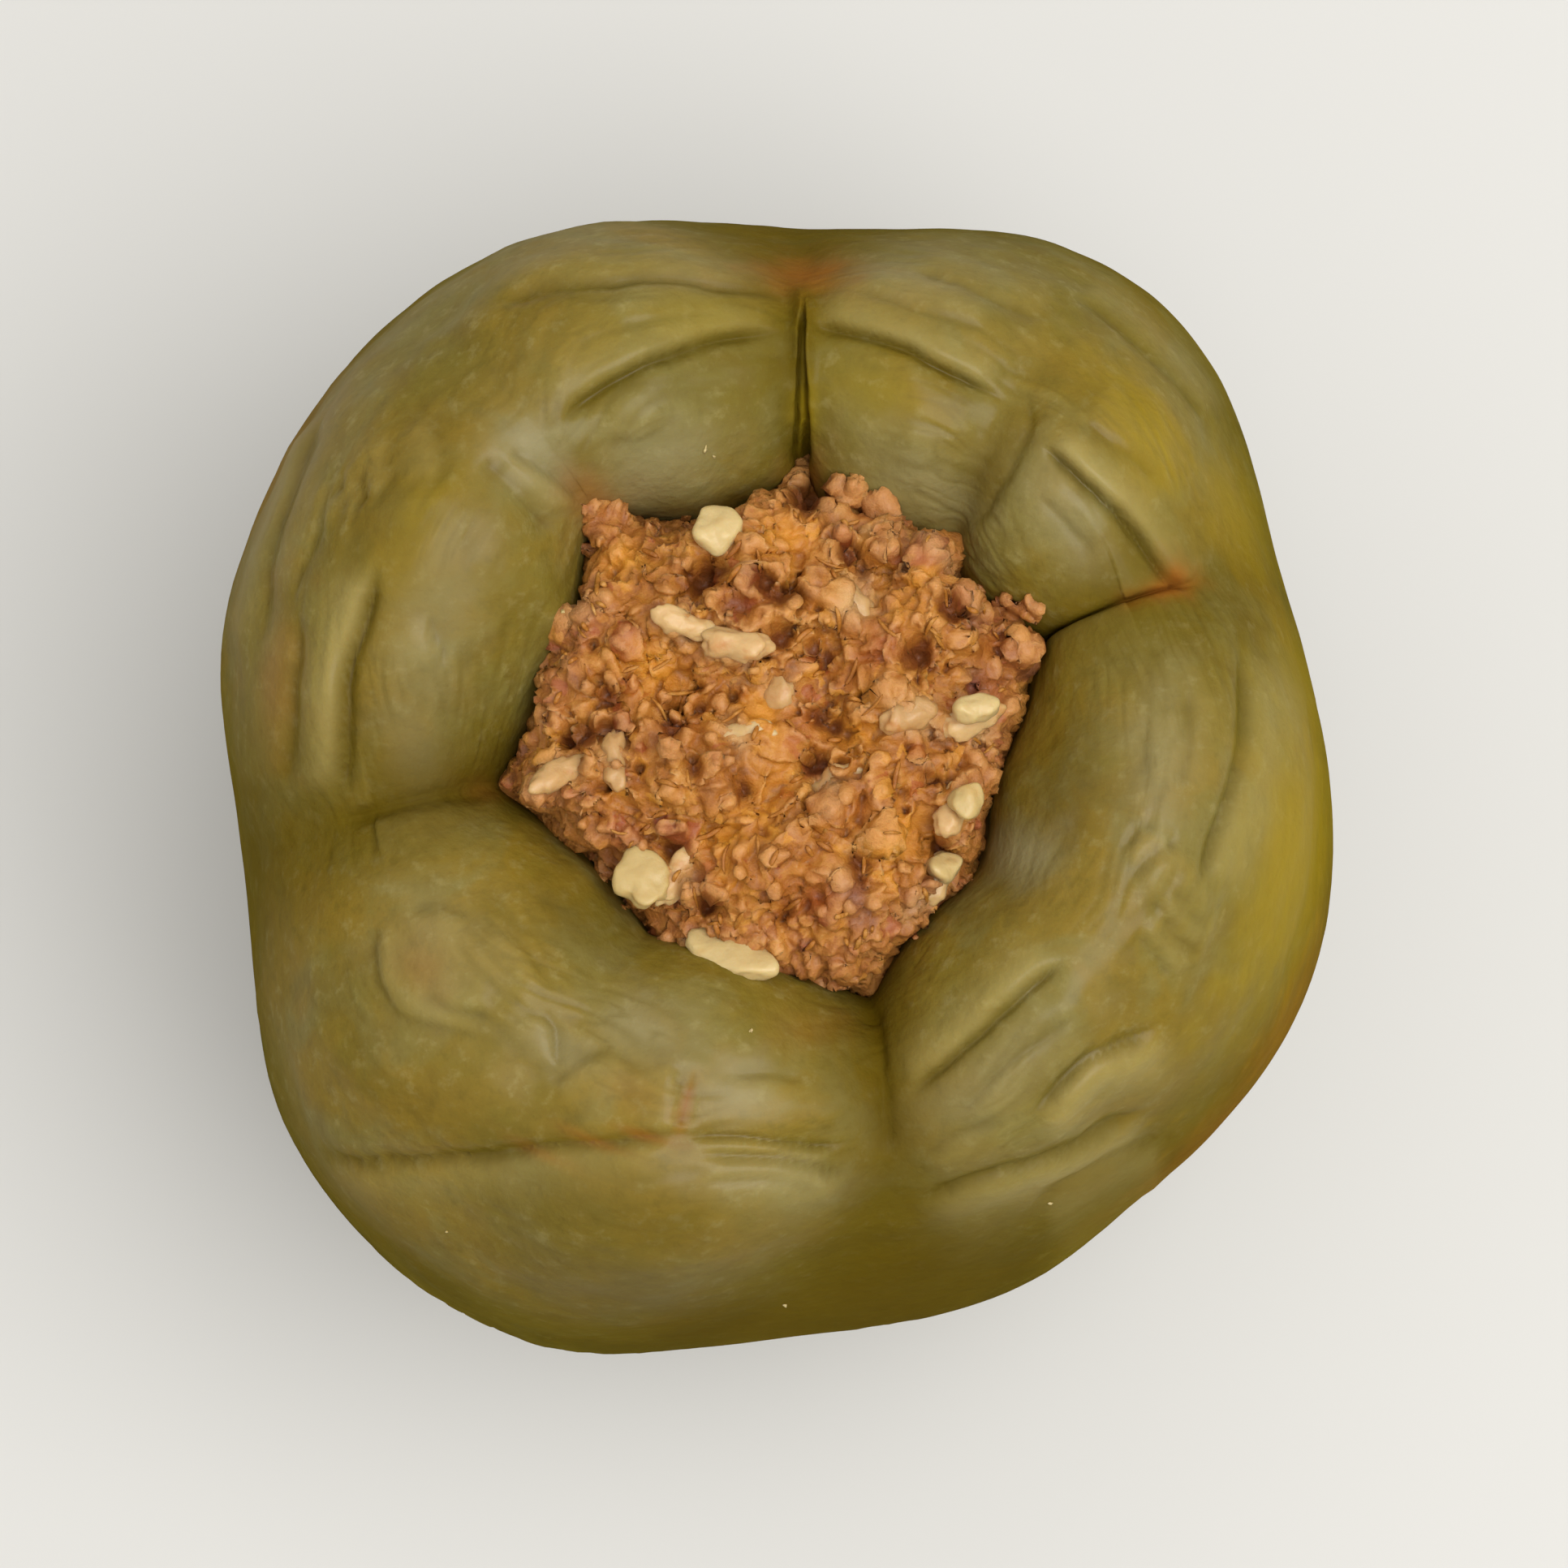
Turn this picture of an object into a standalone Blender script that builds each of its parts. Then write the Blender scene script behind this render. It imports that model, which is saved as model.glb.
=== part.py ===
"""Stuffed green bell pepper: cooked soft, standing on its foot, its stem and core cut out.

Two solids. The wall is a lobed cup of pepper flesh with a round opening on top. The filling of minced
meat and rice packs the cup and heaps up through the opening. Lengths below are millimetres, and are
turned into metres when a mesh is made. +Z is up, +X is to the viewer's right and +Y away from them;
the origin lies under the middle of the foot, on the surface that the pepper stands on.
"""

import math
from typing import NamedTuple

import bmesh
import bpy
import numpy as np
from mathutils import Vector, noise

METRE = 0.001  # metres in one of this file's units

# The opening's axis, measured from the middle of the pepper's outline. Distances and angles round the
# pepper are taken from this axis, angles in degrees from +X towards +Y.
AXIS_X, AXIS_Y = 0.1, 1.35

# Outlines are (distance from the axis, height). The skin's run from the middle of the foot out, up the
# side, over the shoulder and down to the cut edge of the opening: along the middle of a lobe, and
# along the bottom of a groove between two lobes.
LOBE_SKIN = (
    (0, 7.5), (8, 5.6), (14.5, 0.8), (21.5, -2.0), (28.5, 0.3), (34.6, 8.3), (38.6, 22), (41, 38),
    (42, 54), (41, 66.5), (38, 77), (33.4, 84.6), (27.8, 88), (22.6, 87.5), (18.3, 85.1), (15.4, 81.3),
    (14.2, 76.2),
)
GROOVE_SKIN = (
    (0, 7.5), (7.5, 8), (13.5, 7.2), (20, 6.2), (27, 7), (33.2, 12.5), (38, 23), (41, 38),
    (42, 53), (40.2, 65), (36.4, 74), (31.6, 79.2), (26.8, 80.8), (23.2, 80.2), (20.7, 78.4),
    (19.2, 75.8), (18.5, 72.4),
)
# The cavity's outlines run the same way, from its floor up to the cut edge.
LOBE_CAVITY = (
    (0, 12), (5, 11), (13, 7.2), (21, 6.2), (28.4, 11.4), (33.6, 22), (36.3, 36), (37.5, 50),
    (37.4, 62), (35.6, 72.5), (32, 79.2), (27.8, 82), (23.6, 81.4), (20.2, 78.2), (18, 73.6),
)
GROOVE_CAVITY = (
    (0, 12), (5, 12), (13, 12), (20.5, 13.2), (27.6, 17.4), (33, 25), (36.2, 36), (37, 49),
    (36.2, 60), (34.2, 68), (31, 74.4), (27.4, 77), (24.6, 76.6), (22.2, 74), (20.6, 70.6),
)
STANDARD_REACH = 42.0  # widest radius in both skin outlines
STANDARD_CREST = 88.0  # greatest height in LOBE_SKIN
REACH_FROM, REACH_TO = 18.0, 38.0  # a lobe's or groove's own reach comes in between these radii
CREST_FROM, CREST_TO = 40.0, 82.0  # a lobe's own crest comes in between these heights

# Shares of the skin's outline at the foot, halfway up the side, on the shoulder and at the opening.
STATIONS = (0.18, 0.5, 0.76, 1.0)
CREASING = (0.15, 0.0, 0.7, 1.0)  # how tight the grooves are at each: 0 a soft dip, 1 a tight crease
CREASE_WIDTH = 0.05  # half-width of the rounded bottom of a crease, as a share of the way up the lobe
FOOT_FADE = 0.16  # the grooves run out inside this share of the outline, in the middle of the foot
LOBE_FULLNESS = 2.5  # power of a lobe's rounded cross-section, 2 for an ellipse
LOBE_SHARING = 0.35  # share of a lobe's width over which its size eases into its neighbour's


class Groove(NamedTuple):
    """A valley in the skin: its angle and how far it shows at STATIONS, its share of the creasing, and
    its widest radius if it parts two lobes."""

    angle: tuple
    showing: tuple
    tightness: float
    reach: float = 0.0


class Lobe(NamedTuple):
    """The swell between two main grooves: its widest radius and the height of its shoulder."""

    reach: float
    crest: float


class Fold(NamedTuple):
    """A buckle in the shoulder's skin: angles it runs between, and its radius at start, middle and end."""

    start: float
    end: float
    radii: tuple
    depth: float
    half_width: float


MAIN_GROOVES = (  # these part the four lobes
    Groove((15, 17, 19, 18.5), (1, 0.6, 0.9, 1), 0.6, 37.2),  # right
    Groove((88, 88, 86.5, 84.5), (1, 0.8, 1, 1), 1.0, 38.2),  # back
    Groove((194, 191.5, 193, 191), (1, 0.7, 0.9, 1), 0.75, 38.4),  # left
    Groove((277, 275, 286, 289), (1, 0.8, 0.85, 1), 0.8, 39.4),  # front
)
FURROWS = (  # these dent each lobe's shoulder where it comes down to the opening
    Groove((52, 52, 54, 46), (0, 0, 0.45, 0.6), 0.75),  # right to back
    Groove((131, 131, 130, 131), (0, 0, 0.3, 0.9), 0.2),  # back to left
    Groove((238, 238, 238, 238), (0.12, 0, 0.26, 0.4), 0.3),  # left to front
    Groove((326, 326, 325, 325), (0.08, 0, 0.18, 0.4), 0.15),  # front to right
)
FURROW_HALF_WIDTH = 25.0  # degrees
LOBES = (Lobe(41.6, 87.0), Lobe(42.4, 88.0), Lobe(46.2, 87.6), Lobe(39.8, 86.4))  # from "right" on
FOLDS = (
    Fold(88, 127, (26.2, 26.2, 24.6), 1.2, 2.0),  # back lobes
    Fold(52, 84, (26.6, 26.4, 27.0), 1.0, 1.9),
    Fold(17, 48, (28.4, 26.4, 25.8), 1.3, 1.9),  # right lobes
    Fold(-22, 12, (29.2, 30.8, 31.2), 1.0, 2.0),
    Fold(-74, -40, (26.4, 25.2, 25.4), 1.2, 1.8),  # front lobes
    Fold(-72, -34, (28.8, 29.0, 30.2), 0.9, 1.7),
    Fold(-78, -44, (33.4, 33.8, 35.0), 0.9, 2.0),
    Fold(-134, -76, (41.0, 29.8, 29.4), 1.3, 2.0),
    Fold(152, 192, (31.6, 28.4, 27.6), 1.3, 1.9),  # left lobe
    Fold(140, 182, (33.6, 33.4, 32.6), 1.0, 2.0),
)
FOLD_ENDS = 0.2  # share of a fold's run over which it fades at each end
FOLDS_FROM, FOLDS_TO = 60.0, 68.0  # folds come in between these heights

DENT_SIZE, DENT_DEPTH = 24.0, 1.6  # the soft, uneven dents that cooking leaves all over

FILLING_GAP = 0.6  # between the filling and the flesh round it
# The heap above the opening: share of the neck's radius, and height.
HEAP = (
    (0.985, 78.6), (0.93, 81), (0.83, 82.1), (0.72, 82.7), (0.6, 83.2), (0.47, 83.5), (0.33, 83.8),
    (0.17, 84), (0, 84),
)
HEAP_ROUNDING = 3  # power by which the heap's rows turn round towards its middle
LUMP_SIZE, LUMP_HEIGHT = 5.6, 3.6

COLUMNS_PER_SECTOR = 10  # a sector lies between a main groove and the furrow next to it
SKIN_ROWS_BY_SHARE = ((0, 0), (7, 0.22), (16, 0.6), (32, 1))  # row and share, close on the shoulder
CAVITY_ROWS = 11

SKIN_GREEN = (0.22, 0.17, 0.035)
MINCE_BROWN = (0.42, 0.16, 0.045)


def smooth_curve(knots, share):
    """Points at these shares of the way along a Catmull-Rom curve through the knots."""
    knots = np.array(knots, float)
    padded = np.vstack([2 * knots[0] - knots[1], knots, 2 * knots[-1] - knots[-2]])
    at = share * (len(knots) - 1)
    start = np.minimum(at.astype(int), len(knots) - 2)
    t = (at - start)[:, None]
    before, first, second, after = (padded[start + k] for k in range(4))
    return 0.5 * (
        2 * first
        + (second - before) * t
        + (2 * before - 5 * first + 4 * second - after) * t**2
        + (3 * first - before - 3 * second + after) * t**3
    )


def ease(low, high, value):
    """0 below low, 1 above high, and an S-curve between them."""
    t = np.clip((value - low) / (high - low), 0, 1)
    return t * t * (3 - 2 * t)


def at_stations(values, share):
    """Values given at STATIONS, eased from one to the next, at these shares of the outline."""
    found = np.full_like(share, float(values[0]))
    for k in range(1, len(STATIONS)):
        found += (values[k] - values[k - 1]) * ease(STATIONS[k - 1], STATIONS[k], share)
    return found


def swell(distance, creasing):
    """How high skin stands at this share of the way from a groove, at 0, to the lobe's middle, at 1."""
    x = np.clip(distance, 0, 1)
    rounded = np.hypot(x, CREASE_WIDTH) / math.hypot(1, CREASE_WIDTH)
    arch = (1 - (1 - rounded) ** LOBE_FULLNESS) ** (1 / LOBE_FULLNESS)
    bottom = (1 - (1 - CREASE_WIDTH) ** LOBE_FULLNESS) ** (1 / LOBE_FULLNESS)
    creased = np.maximum(arch - bottom, 0) / (1 - bottom)
    soft = 0.5 - 0.5 * np.cos(math.pi * x)
    return soft + (creased - soft) * creasing


def degrees_apart(a, b):
    return (a - b + 180) % 360 - 180


def noise_at(points, size):
    """Smooth noise, about -1 to 1, whose lumps are this large."""
    flat = points.reshape(-1, 3) / size
    return np.array([noise.noise(Vector(point)) for point in flat]).reshape(points.shape[:-1])


def column_angles(share):
    """The angle of each point: columns run along every groove and furrow, and crowd towards them."""
    lines = [at_stations(g.angle, share) for pair in zip(MAIN_GROOVES, FURROWS) for g in pair]
    lines.append(lines[0] + 360)
    across = 0.5 - 0.5 * np.cos(math.pi * np.arange(COLUMNS_PER_SECTOR) / COLUMNS_PER_SECTOR)
    return np.hstack([a + (b - a) * across for a, b in zip(lines, lines[1:])])


def shared_sizes(k, t):
    """The reach and crest of lobe k at this share of its width, which meet its neighbours' at its ends."""
    to_first, to_second = ease(LOBE_SHARING, 0, t) / 2, ease(LOBE_SHARING, 0, 1 - t) / 2
    own, first, second = LOBES[k], LOBES[k - 1], LOBES[(k + 1) % len(LOBES)]
    return [a + (b - a) * to_first + (c - a) * to_second for a, b, c in zip(own, first, second)]


def lobed_surface(lobe_outline, groove_outline, share):
    """Rows of points on a surface that swings between the two outlines as it goes round the axis."""
    lobe_r, lobe_z = np.split(smooth_curve(lobe_outline, share), 2, axis=1)
    groove_r, groove_z = np.split(smooth_curve(groove_outline, share), 2, axis=1)
    share = share[:, None]
    angle = column_angles(share)
    creasing = at_stations(CREASING, share)
    per_lobe = 2 * COLUMNS_PER_SECTOR
    pieces = []
    for k in range(len(LOBES)):
        turn = angle[:, k * per_lobe : (k + 1) * per_lobe]
        first, second = MAIN_GROOVES[k], MAIN_GROOVES[(k + 1) % len(LOBES)]
        start = at_stations(first.angle, share)
        width = degrees_apart(at_stations(second.angle, share), start) % 360
        t = (turn - start) / width
        mix = ease(0, 1, t)
        shows = at_stations(first.showing, share) * (1 - mix) + at_stations(second.showing, share) * mix
        tightness = first.tightness + (second.tightness - first.tightness) * mix
        height = 1 - shows * (1 - swell(2 * np.minimum(t, 1 - t), creasing * tightness))
        groove_reach = first.reach + (second.reach - first.reach) * mix
        pieces.append((height, groove_reach, *shared_sizes(k, t)))
    height, groove_reach, lobe_reach, crest = (np.hstack(part) for part in zip(*pieces))
    for furrow in FURROWS:
        apart = np.abs(degrees_apart(angle, at_stations(furrow.angle, share)))
        dip = 1 - swell(apart / FURROW_HALF_WIDTH, creasing * furrow.tightness)
        height *= 1 - at_stations(furrow.showing, share) * dip
    height = 1 - (1 - height) * ease(0, FOOT_FADE, share)

    def reaching(r, reach):
        return r * (1 + (reach / STANDARD_REACH - 1) * ease(REACH_FROM, REACH_TO, r))

    lobe_z = lobe_z * (1 + (crest / STANDARD_CREST - 1) * ease(CREST_FROM, CREST_TO, lobe_z))
    lobe_r, groove_r = reaching(lobe_r, lobe_reach), reaching(groove_r, groove_reach)
    r = groove_r + (lobe_r - groove_r) * height
    z = groove_z + (lobe_z - groove_z) * height
    turn = np.radians(angle)
    return np.stack([AXIS_X + r * np.cos(turn), AXIS_Y + r * np.sin(turn), z], axis=-1)


def outward_normals(rows):
    """Unit normals of rows of points that run up the skin, as an average over each point's neighbours."""
    up = np.gradient(rows, axis=0)
    onward = np.roll(rows, -1, axis=1) - np.roll(rows, 1, axis=1)
    normal = np.cross(onward, up)
    return normal / (np.linalg.norm(normal, axis=-1, keepdims=True) + 1e-9)


def fold_depths(rows):
    """How deep the folds press into the skin at each point."""
    x, y = rows[..., 0] - AXIS_X, rows[..., 1] - AXIS_Y
    radius, angle = np.hypot(x, y), np.degrees(np.arctan2(y, x))
    depth = np.zeros_like(radius)
    for fold in FOLDS:
        t = 0.5 + degrees_apart(angle, (fold.start + fold.end) / 2) / (fold.end - fold.start)
        first, middle, last = fold.radii
        line = first * (1 - t) * (1 - 2 * t) + 4 * middle * t * (1 - t) + last * t * (2 * t - 1)
        ends = ease(0, FOLD_ENDS, t) * ease(0, FOLD_ENDS, 1 - t)
        depth += fold.depth * ends * np.exp(-(((radius - line) / fold.half_width) ** 2))
    return depth * ease(FOLDS_FROM, FOLDS_TO, rows[..., 2])


def inset(outline, gap):
    """A cavity outline moved in by gap."""
    points = np.array(outline, float)
    run = np.gradient(points, axis=0)
    run /= np.linalg.norm(run, axis=1, keepdims=True)
    inner = points + gap * np.stack([-run[:, 1], run[:, 0]], axis=1)
    inner[0, 0] = 0
    return inner


def skin_rows():
    """The skin from the middle of the foot up to the cut edge of the opening."""
    rows_at, shares = zip(*SKIN_ROWS_BY_SHARE)
    share = np.interp(np.arange(rows_at[-1] + 1), rows_at, shares)
    rows = lobed_surface(LOBE_SKIN, GROOVE_SKIN, share)
    away_from_ends = ease(0, FOOT_FADE, share) * ease(0, FOOT_FADE, 1 - share)
    inward = fold_depths(rows) + DENT_DEPTH * noise_at(rows, DENT_SIZE) * away_from_ends[:, None]
    rows -= outward_normals(rows) * inward[..., None]
    rows[..., 2] = np.maximum(rows[..., 2], 0)  # the soft foot lies flat where it bears
    return rows


def cavity_rows(gap):
    """The cavity from its floor up to the opening, or a body that fills it with this gap all round."""
    share = np.linspace(0, 1, CAVITY_ROWS)
    return lobed_surface(inset(LOBE_CAVITY, gap), inset(GROOVE_CAVITY, gap), share)


def filling_rows(cut_edge):
    """The filling from the floor of the cavity up, through the opening and over the heap."""
    spoke = cut_edge[:, :2] - (AXIS_X, AXIS_Y)
    radius = np.linalg.norm(spoke, axis=-1)
    neck = radius - FILLING_GAP
    crowded = np.unwrap(np.arctan2(spoke[:, 1], spoke[:, 0]))
    even = crowded[0] + np.arange(len(crowded)) * math.tau / len(crowded)

    def ring(share, height):
        outer = share**HEAP_ROUNDING
        reach = share * (neck.mean() + (neck - neck.mean()) * outer)
        turn = even + (crowded - even) * outer
        return np.stack([AXIS_X + reach * np.cos(turn), AXIS_Y + reach * np.sin(turn), height], axis=-1)

    packed = cavity_rows(FILLING_GAP)
    packed[-1, :, 2] -= FILLING_GAP  # the gap holds round the lower corner of the cut edge too
    rows = [*packed, ring(1, cut_edge[:, 2] - FILLING_GAP)]
    for share, height in HEAP:
        row = ring(share, np.full_like(neck, height))
        row[:, 2] += LUMP_HEIGHT * noise_at(row, LUMP_SIZE)
        rows.append(row)
    return rows


def closed_solid(name, rows, material):
    """One closed body from rings of points in order; the first and last ring are single points."""
    mesh = bmesh.new()
    poles = [mesh.verts.new(Vector(ring[0]) * METRE) for ring in (rows[0], rows[-1])]
    rings = [[mesh.verts.new(Vector(p) * METRE) for p in row] for row in rows[1:-1]]
    for low, high in zip(rings, rings[1:]):
        for k in range(len(low)):
            mesh.faces.new((low[k - 1], low[k], high[k], high[k - 1]))
    for pole, ring in zip(poles, (rings[0], rings[-1])):
        for k in range(len(ring)):
            mesh.faces.new((pole, ring[k], ring[k - 1]))
    bmesh.ops.recalc_face_normals(mesh, faces=mesh.faces)
    data = bpy.data.meshes.new(name)
    mesh.to_mesh(data)
    mesh.free()
    data.shade_smooth()
    data.materials.append(material)
    bpy.context.scene.collection.objects.link(bpy.data.objects.new(name, data))


def food_material(name, colour, roughness, coat):
    material = bpy.data.materials.new(name)
    material.use_nodes = True
    shader = material.node_tree.nodes["Principled BSDF"]
    shader.inputs["Base Color"].default_value = (*colour, 1)
    shader.inputs["Roughness"].default_value = roughness
    shader.inputs["Metallic"].default_value = 0
    shader.inputs["Coat Weight"].default_value = coat
    return material


def build():
    for leftover in list(bpy.data.objects):
        bpy.data.objects.remove(leftover)
    skin = skin_rows()
    wall = [*skin, *cavity_rows(0)[::-1]]
    wet_skin = food_material("wet_skin", SKIN_GREEN, roughness=0.4, coat=0.3)
    mince = food_material("mince", MINCE_BROWN, roughness=0.75, coat=0.0)
    closed_solid("pepper_wall", wall, wet_skin)
    closed_solid("filling", filling_rows(skin[-1]), mince)


build()
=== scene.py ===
"""How the stuffed green bell pepper looks: its wrinkled wet skin, its crumbly filling, and a pale stage.

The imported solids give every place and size. The pepper's skin and the filling's top are made again here
on a finer grid, from the same outlines, and take the place of the solids. Crumbs, shreds, rice grains,
pepper seeds and specks of spice lie on them. Lengths are millimetres until a mesh is made; angles are
degrees from +X towards +Y, and distances are measured from the axis of the pepper's opening.
"""

import math
import random
from typing import NamedTuple

import bmesh
import bpy
import numpy as np
from mathutils import Euler, Matrix, Vector, noise
from mathutils.bvhtree import BVHTree
from mathutils.kdtree import KDTree


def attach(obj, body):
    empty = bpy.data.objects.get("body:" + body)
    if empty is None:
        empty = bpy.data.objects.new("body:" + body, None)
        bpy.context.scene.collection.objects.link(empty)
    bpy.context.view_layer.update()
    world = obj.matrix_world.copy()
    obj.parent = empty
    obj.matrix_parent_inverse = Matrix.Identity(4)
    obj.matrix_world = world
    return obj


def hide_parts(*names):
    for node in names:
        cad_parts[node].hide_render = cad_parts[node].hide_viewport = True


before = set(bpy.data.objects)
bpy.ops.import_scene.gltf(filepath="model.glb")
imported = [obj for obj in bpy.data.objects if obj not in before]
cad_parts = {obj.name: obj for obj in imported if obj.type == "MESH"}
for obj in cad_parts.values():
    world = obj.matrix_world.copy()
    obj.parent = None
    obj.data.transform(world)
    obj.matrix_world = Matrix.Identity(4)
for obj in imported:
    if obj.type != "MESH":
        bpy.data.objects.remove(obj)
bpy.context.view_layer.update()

METRE = 0.001  # metres in one of this file's units
BODY = "root"

# ---------------- the pepper's shape, as its solids have it

AXIS_X, AXIS_Y = 0.1, 1.35

# Outlines are (distance from the axis, height), from the middle of the foot up to the cut edge of the
# opening: along the middle of a lobe, and along the bottom of a groove between two lobes.
LOBE_SKIN = (
    (0, 7.5), (8, 5.6), (14.5, 0.8), (21.5, -2.0), (28.5, 0.3), (34.6, 8.3), (38.6, 22), (41, 38),
    (42, 54), (41, 66.5), (38, 77), (33.4, 84.6), (27.8, 88), (22.6, 87.5), (18.3, 85.1), (15.4, 81.3),
    (14.2, 76.2),
)
GROOVE_SKIN = (
    (0, 7.5), (7.5, 8), (13.5, 7.2), (20, 6.2), (27, 7), (33.2, 12.5), (38, 23), (41, 38),
    (42, 53), (40.2, 65), (36.4, 74), (31.6, 79.2), (26.8, 80.8), (23.2, 80.2), (20.7, 78.4),
    (19.2, 75.8), (18.5, 72.4),
)
LOBE_CAVITY = (
    (0, 12), (5, 11), (13, 7.2), (21, 6.2), (28.4, 11.4), (33.6, 22), (36.3, 36), (37.5, 50),
    (37.4, 62), (35.6, 72.5), (32, 79.2), (27.8, 82), (23.6, 81.4), (20.2, 78.2), (18, 73.6),
)
GROOVE_CAVITY = (
    (0, 12), (5, 12), (13, 12), (20.5, 13.2), (27.6, 17.4), (33, 25), (36.2, 36), (37, 49),
    (36.2, 60), (34.2, 68), (31, 74.4), (27.4, 77), (24.6, 76.6), (22.2, 74), (20.6, 70.6),
)
STANDARD_REACH = 42.0  # widest radius in both skin outlines
STANDARD_CREST = 88.0  # greatest height in LOBE_SKIN
REACH_FROM, REACH_TO = 18.0, 38.0  # a lobe's or groove's own reach comes in between these radii
CREST_FROM, CREST_TO = 40.0, 82.0  # a lobe's own crest comes in between these heights

# Shares of the skin's outline at the foot, halfway up the side, on the shoulder and at the opening.
STATIONS = (0.18, 0.5, 0.76, 1.0)
CREASING = (0.15, 0.0, 0.7, 1.0)  # how tight the grooves are at each: 0 a soft dip, 1 a tight crease
CREASE_WIDTH = 0.05  # half-width of the rounded bottom of a crease, as a share of the way up the lobe
FOOT_FADE = 0.16  # the grooves run out inside this share of the outline, in the middle of the foot
LOBE_FULLNESS = 2.5  # power of a lobe's rounded cross-section, 2 for an ellipse
LOBE_SHARING = 0.35  # share of a lobe's width over which its size eases into its neighbour's


class Groove(NamedTuple):
    """A valley in the skin: its angle and how far it shows at STATIONS, its share of the creasing, and
    its widest radius if it parts two lobes."""

    angle: tuple
    showing: tuple
    tightness: float
    reach: float = 0.0


class Lobe(NamedTuple):
    """The swell between two main grooves: its widest radius and the height of its shoulder."""

    reach: float
    crest: float


class Fold(NamedTuple):
    """A buckle in the shoulder's skin: angles it runs between, and its radius at start, middle and end."""

    start: float
    end: float
    radii: tuple
    depth: float
    half_width: float


MAIN_GROOVES = (  # these part the four lobes
    Groove((15, 17, 19, 18.5), (1, 0.6, 0.9, 1), 0.6, 37.2),  # right
    Groove((88, 88, 86.5, 84.5), (1, 0.8, 1, 1), 1.0, 38.2),  # back
    Groove((194, 191.5, 193, 191), (1, 0.7, 0.9, 1), 0.75, 38.4),  # left
    Groove((277, 275, 286, 289), (1, 0.8, 0.85, 1), 0.8, 39.4),  # front
)
FURROWS = (  # these dent each lobe's shoulder where it comes down to the opening
    Groove((52, 52, 54, 46), (0, 0, 0.45, 0.6), 0.75),  # right to back
    Groove((131, 131, 130, 131), (0, 0, 0.3, 0.9), 0.2),  # back to left
    Groove((238, 238, 238, 238), (0.12, 0, 0.26, 0.4), 0.3),  # left to front
    Groove((326, 326, 325, 325), (0.08, 0, 0.18, 0.4), 0.15),  # front to right
)
FURROW_HALF_WIDTH = 25.0  # degrees
LOBES = (Lobe(41.6, 87.0), Lobe(42.4, 88.0), Lobe(46.2, 87.6), Lobe(39.8, 86.4))  # from "right" on
FOLDS = (
    Fold(88, 127, (26.2, 26.2, 24.6), 1.2, 2.0),  # back lobes
    Fold(52, 84, (26.6, 26.4, 27.0), 1.0, 1.9),
    Fold(17, 48, (28.4, 26.4, 25.8), 1.3, 1.9),  # right lobes
    Fold(-22, 12, (29.2, 30.8, 31.2), 1.0, 2.0),
    Fold(-74, -40, (26.4, 25.2, 25.4), 1.2, 1.8),  # front lobes
    Fold(-72, -34, (28.8, 29.0, 30.2), 0.9, 1.7),
    Fold(-78, -44, (33.4, 33.8, 35.0), 0.9, 2.0),
    Fold(-134, -76, (41.0, 29.8, 29.4), 1.3, 2.0),
    Fold(152, 192, (31.6, 28.4, 27.6), 1.3, 1.9),  # left lobe
    Fold(140, 182, (33.6, 33.4, 32.6), 1.0, 2.0),
)
FOLD_ENDS = 0.2  # share of a fold's run over which it fades at each end
FOLDS_FROM, FOLDS_TO = 60.0, 68.0  # folds come in between these heights
DENT_SIZE, DENT_DEPTH = 24.0, 1.6  # the soft, uneven dents that cooking leaves all over

HEAP = (
    (0.985, 78.6), (0.93, 81), (0.83, 82.1), (0.72, 82.7), (0.6, 83.2), (0.47, 83.5), (0.33, 83.8),
    (0.17, 84), (0, 84),
)
HEAP_ROUNDING = 3  # power by which the heap's rows turn round towards its middle
LUMP_SIZE, LUMP_HEIGHT = 5.6, 3.6


def smooth_curve(knots, share):
    """Points at these shares of the way along a Catmull-Rom curve through the knots."""
    knots = np.array(knots, float)
    padded = np.vstack([2 * knots[0] - knots[1], knots, 2 * knots[-1] - knots[-2]])
    at = share * (len(knots) - 1)
    start = np.minimum(at.astype(int), len(knots) - 2)
    t = (at - start)[:, None]
    before, first, second, after = (padded[start + k] for k in range(4))
    return 0.5 * (
        2 * first
        + (second - before) * t
        + (2 * before - 5 * first + 4 * second - after) * t**2
        + (3 * first - before - 3 * second + after) * t**3
    )


def ease(low, high, value):
    """0 below low, 1 above high, and an S-curve between them."""
    t = np.clip((value - low) / (high - low), 0, 1)
    return t * t * (3 - 2 * t)


def faded(margin, share):
    """1 along a run from share 0 to share 1, eased to 0 at its ends over this margin."""
    return ease(0, margin, share) * ease(0, margin, 1 - share)


def at_stations(values, share):
    """Values given at STATIONS, eased from one to the next, at these shares of the outline."""
    found = np.full_like(share, float(values[0]))
    for k in range(1, len(STATIONS)):
        found += (values[k] - values[k - 1]) * ease(STATIONS[k - 1], STATIONS[k], share)
    return found


def swell(distance, creasing):
    """How high skin stands at this share of the way from a groove, at 0, to the lobe's middle, at 1."""
    x = np.clip(distance, 0, 1)
    rounded = np.hypot(x, CREASE_WIDTH) / math.hypot(1, CREASE_WIDTH)
    arch = (1 - (1 - rounded) ** LOBE_FULLNESS) ** (1 / LOBE_FULLNESS)
    bottom = (1 - (1 - CREASE_WIDTH) ** LOBE_FULLNESS) ** (1 / LOBE_FULLNESS)
    creased = np.maximum(arch - bottom, 0) / (1 - bottom)
    soft = 0.5 - 0.5 * np.cos(math.pi * x)
    return soft + (creased - soft) * creasing


def degrees_apart(a, b):
    """How far angle a is past angle b, from -180 to 180."""
    return (a - b + 180) % 360 - 180


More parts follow.
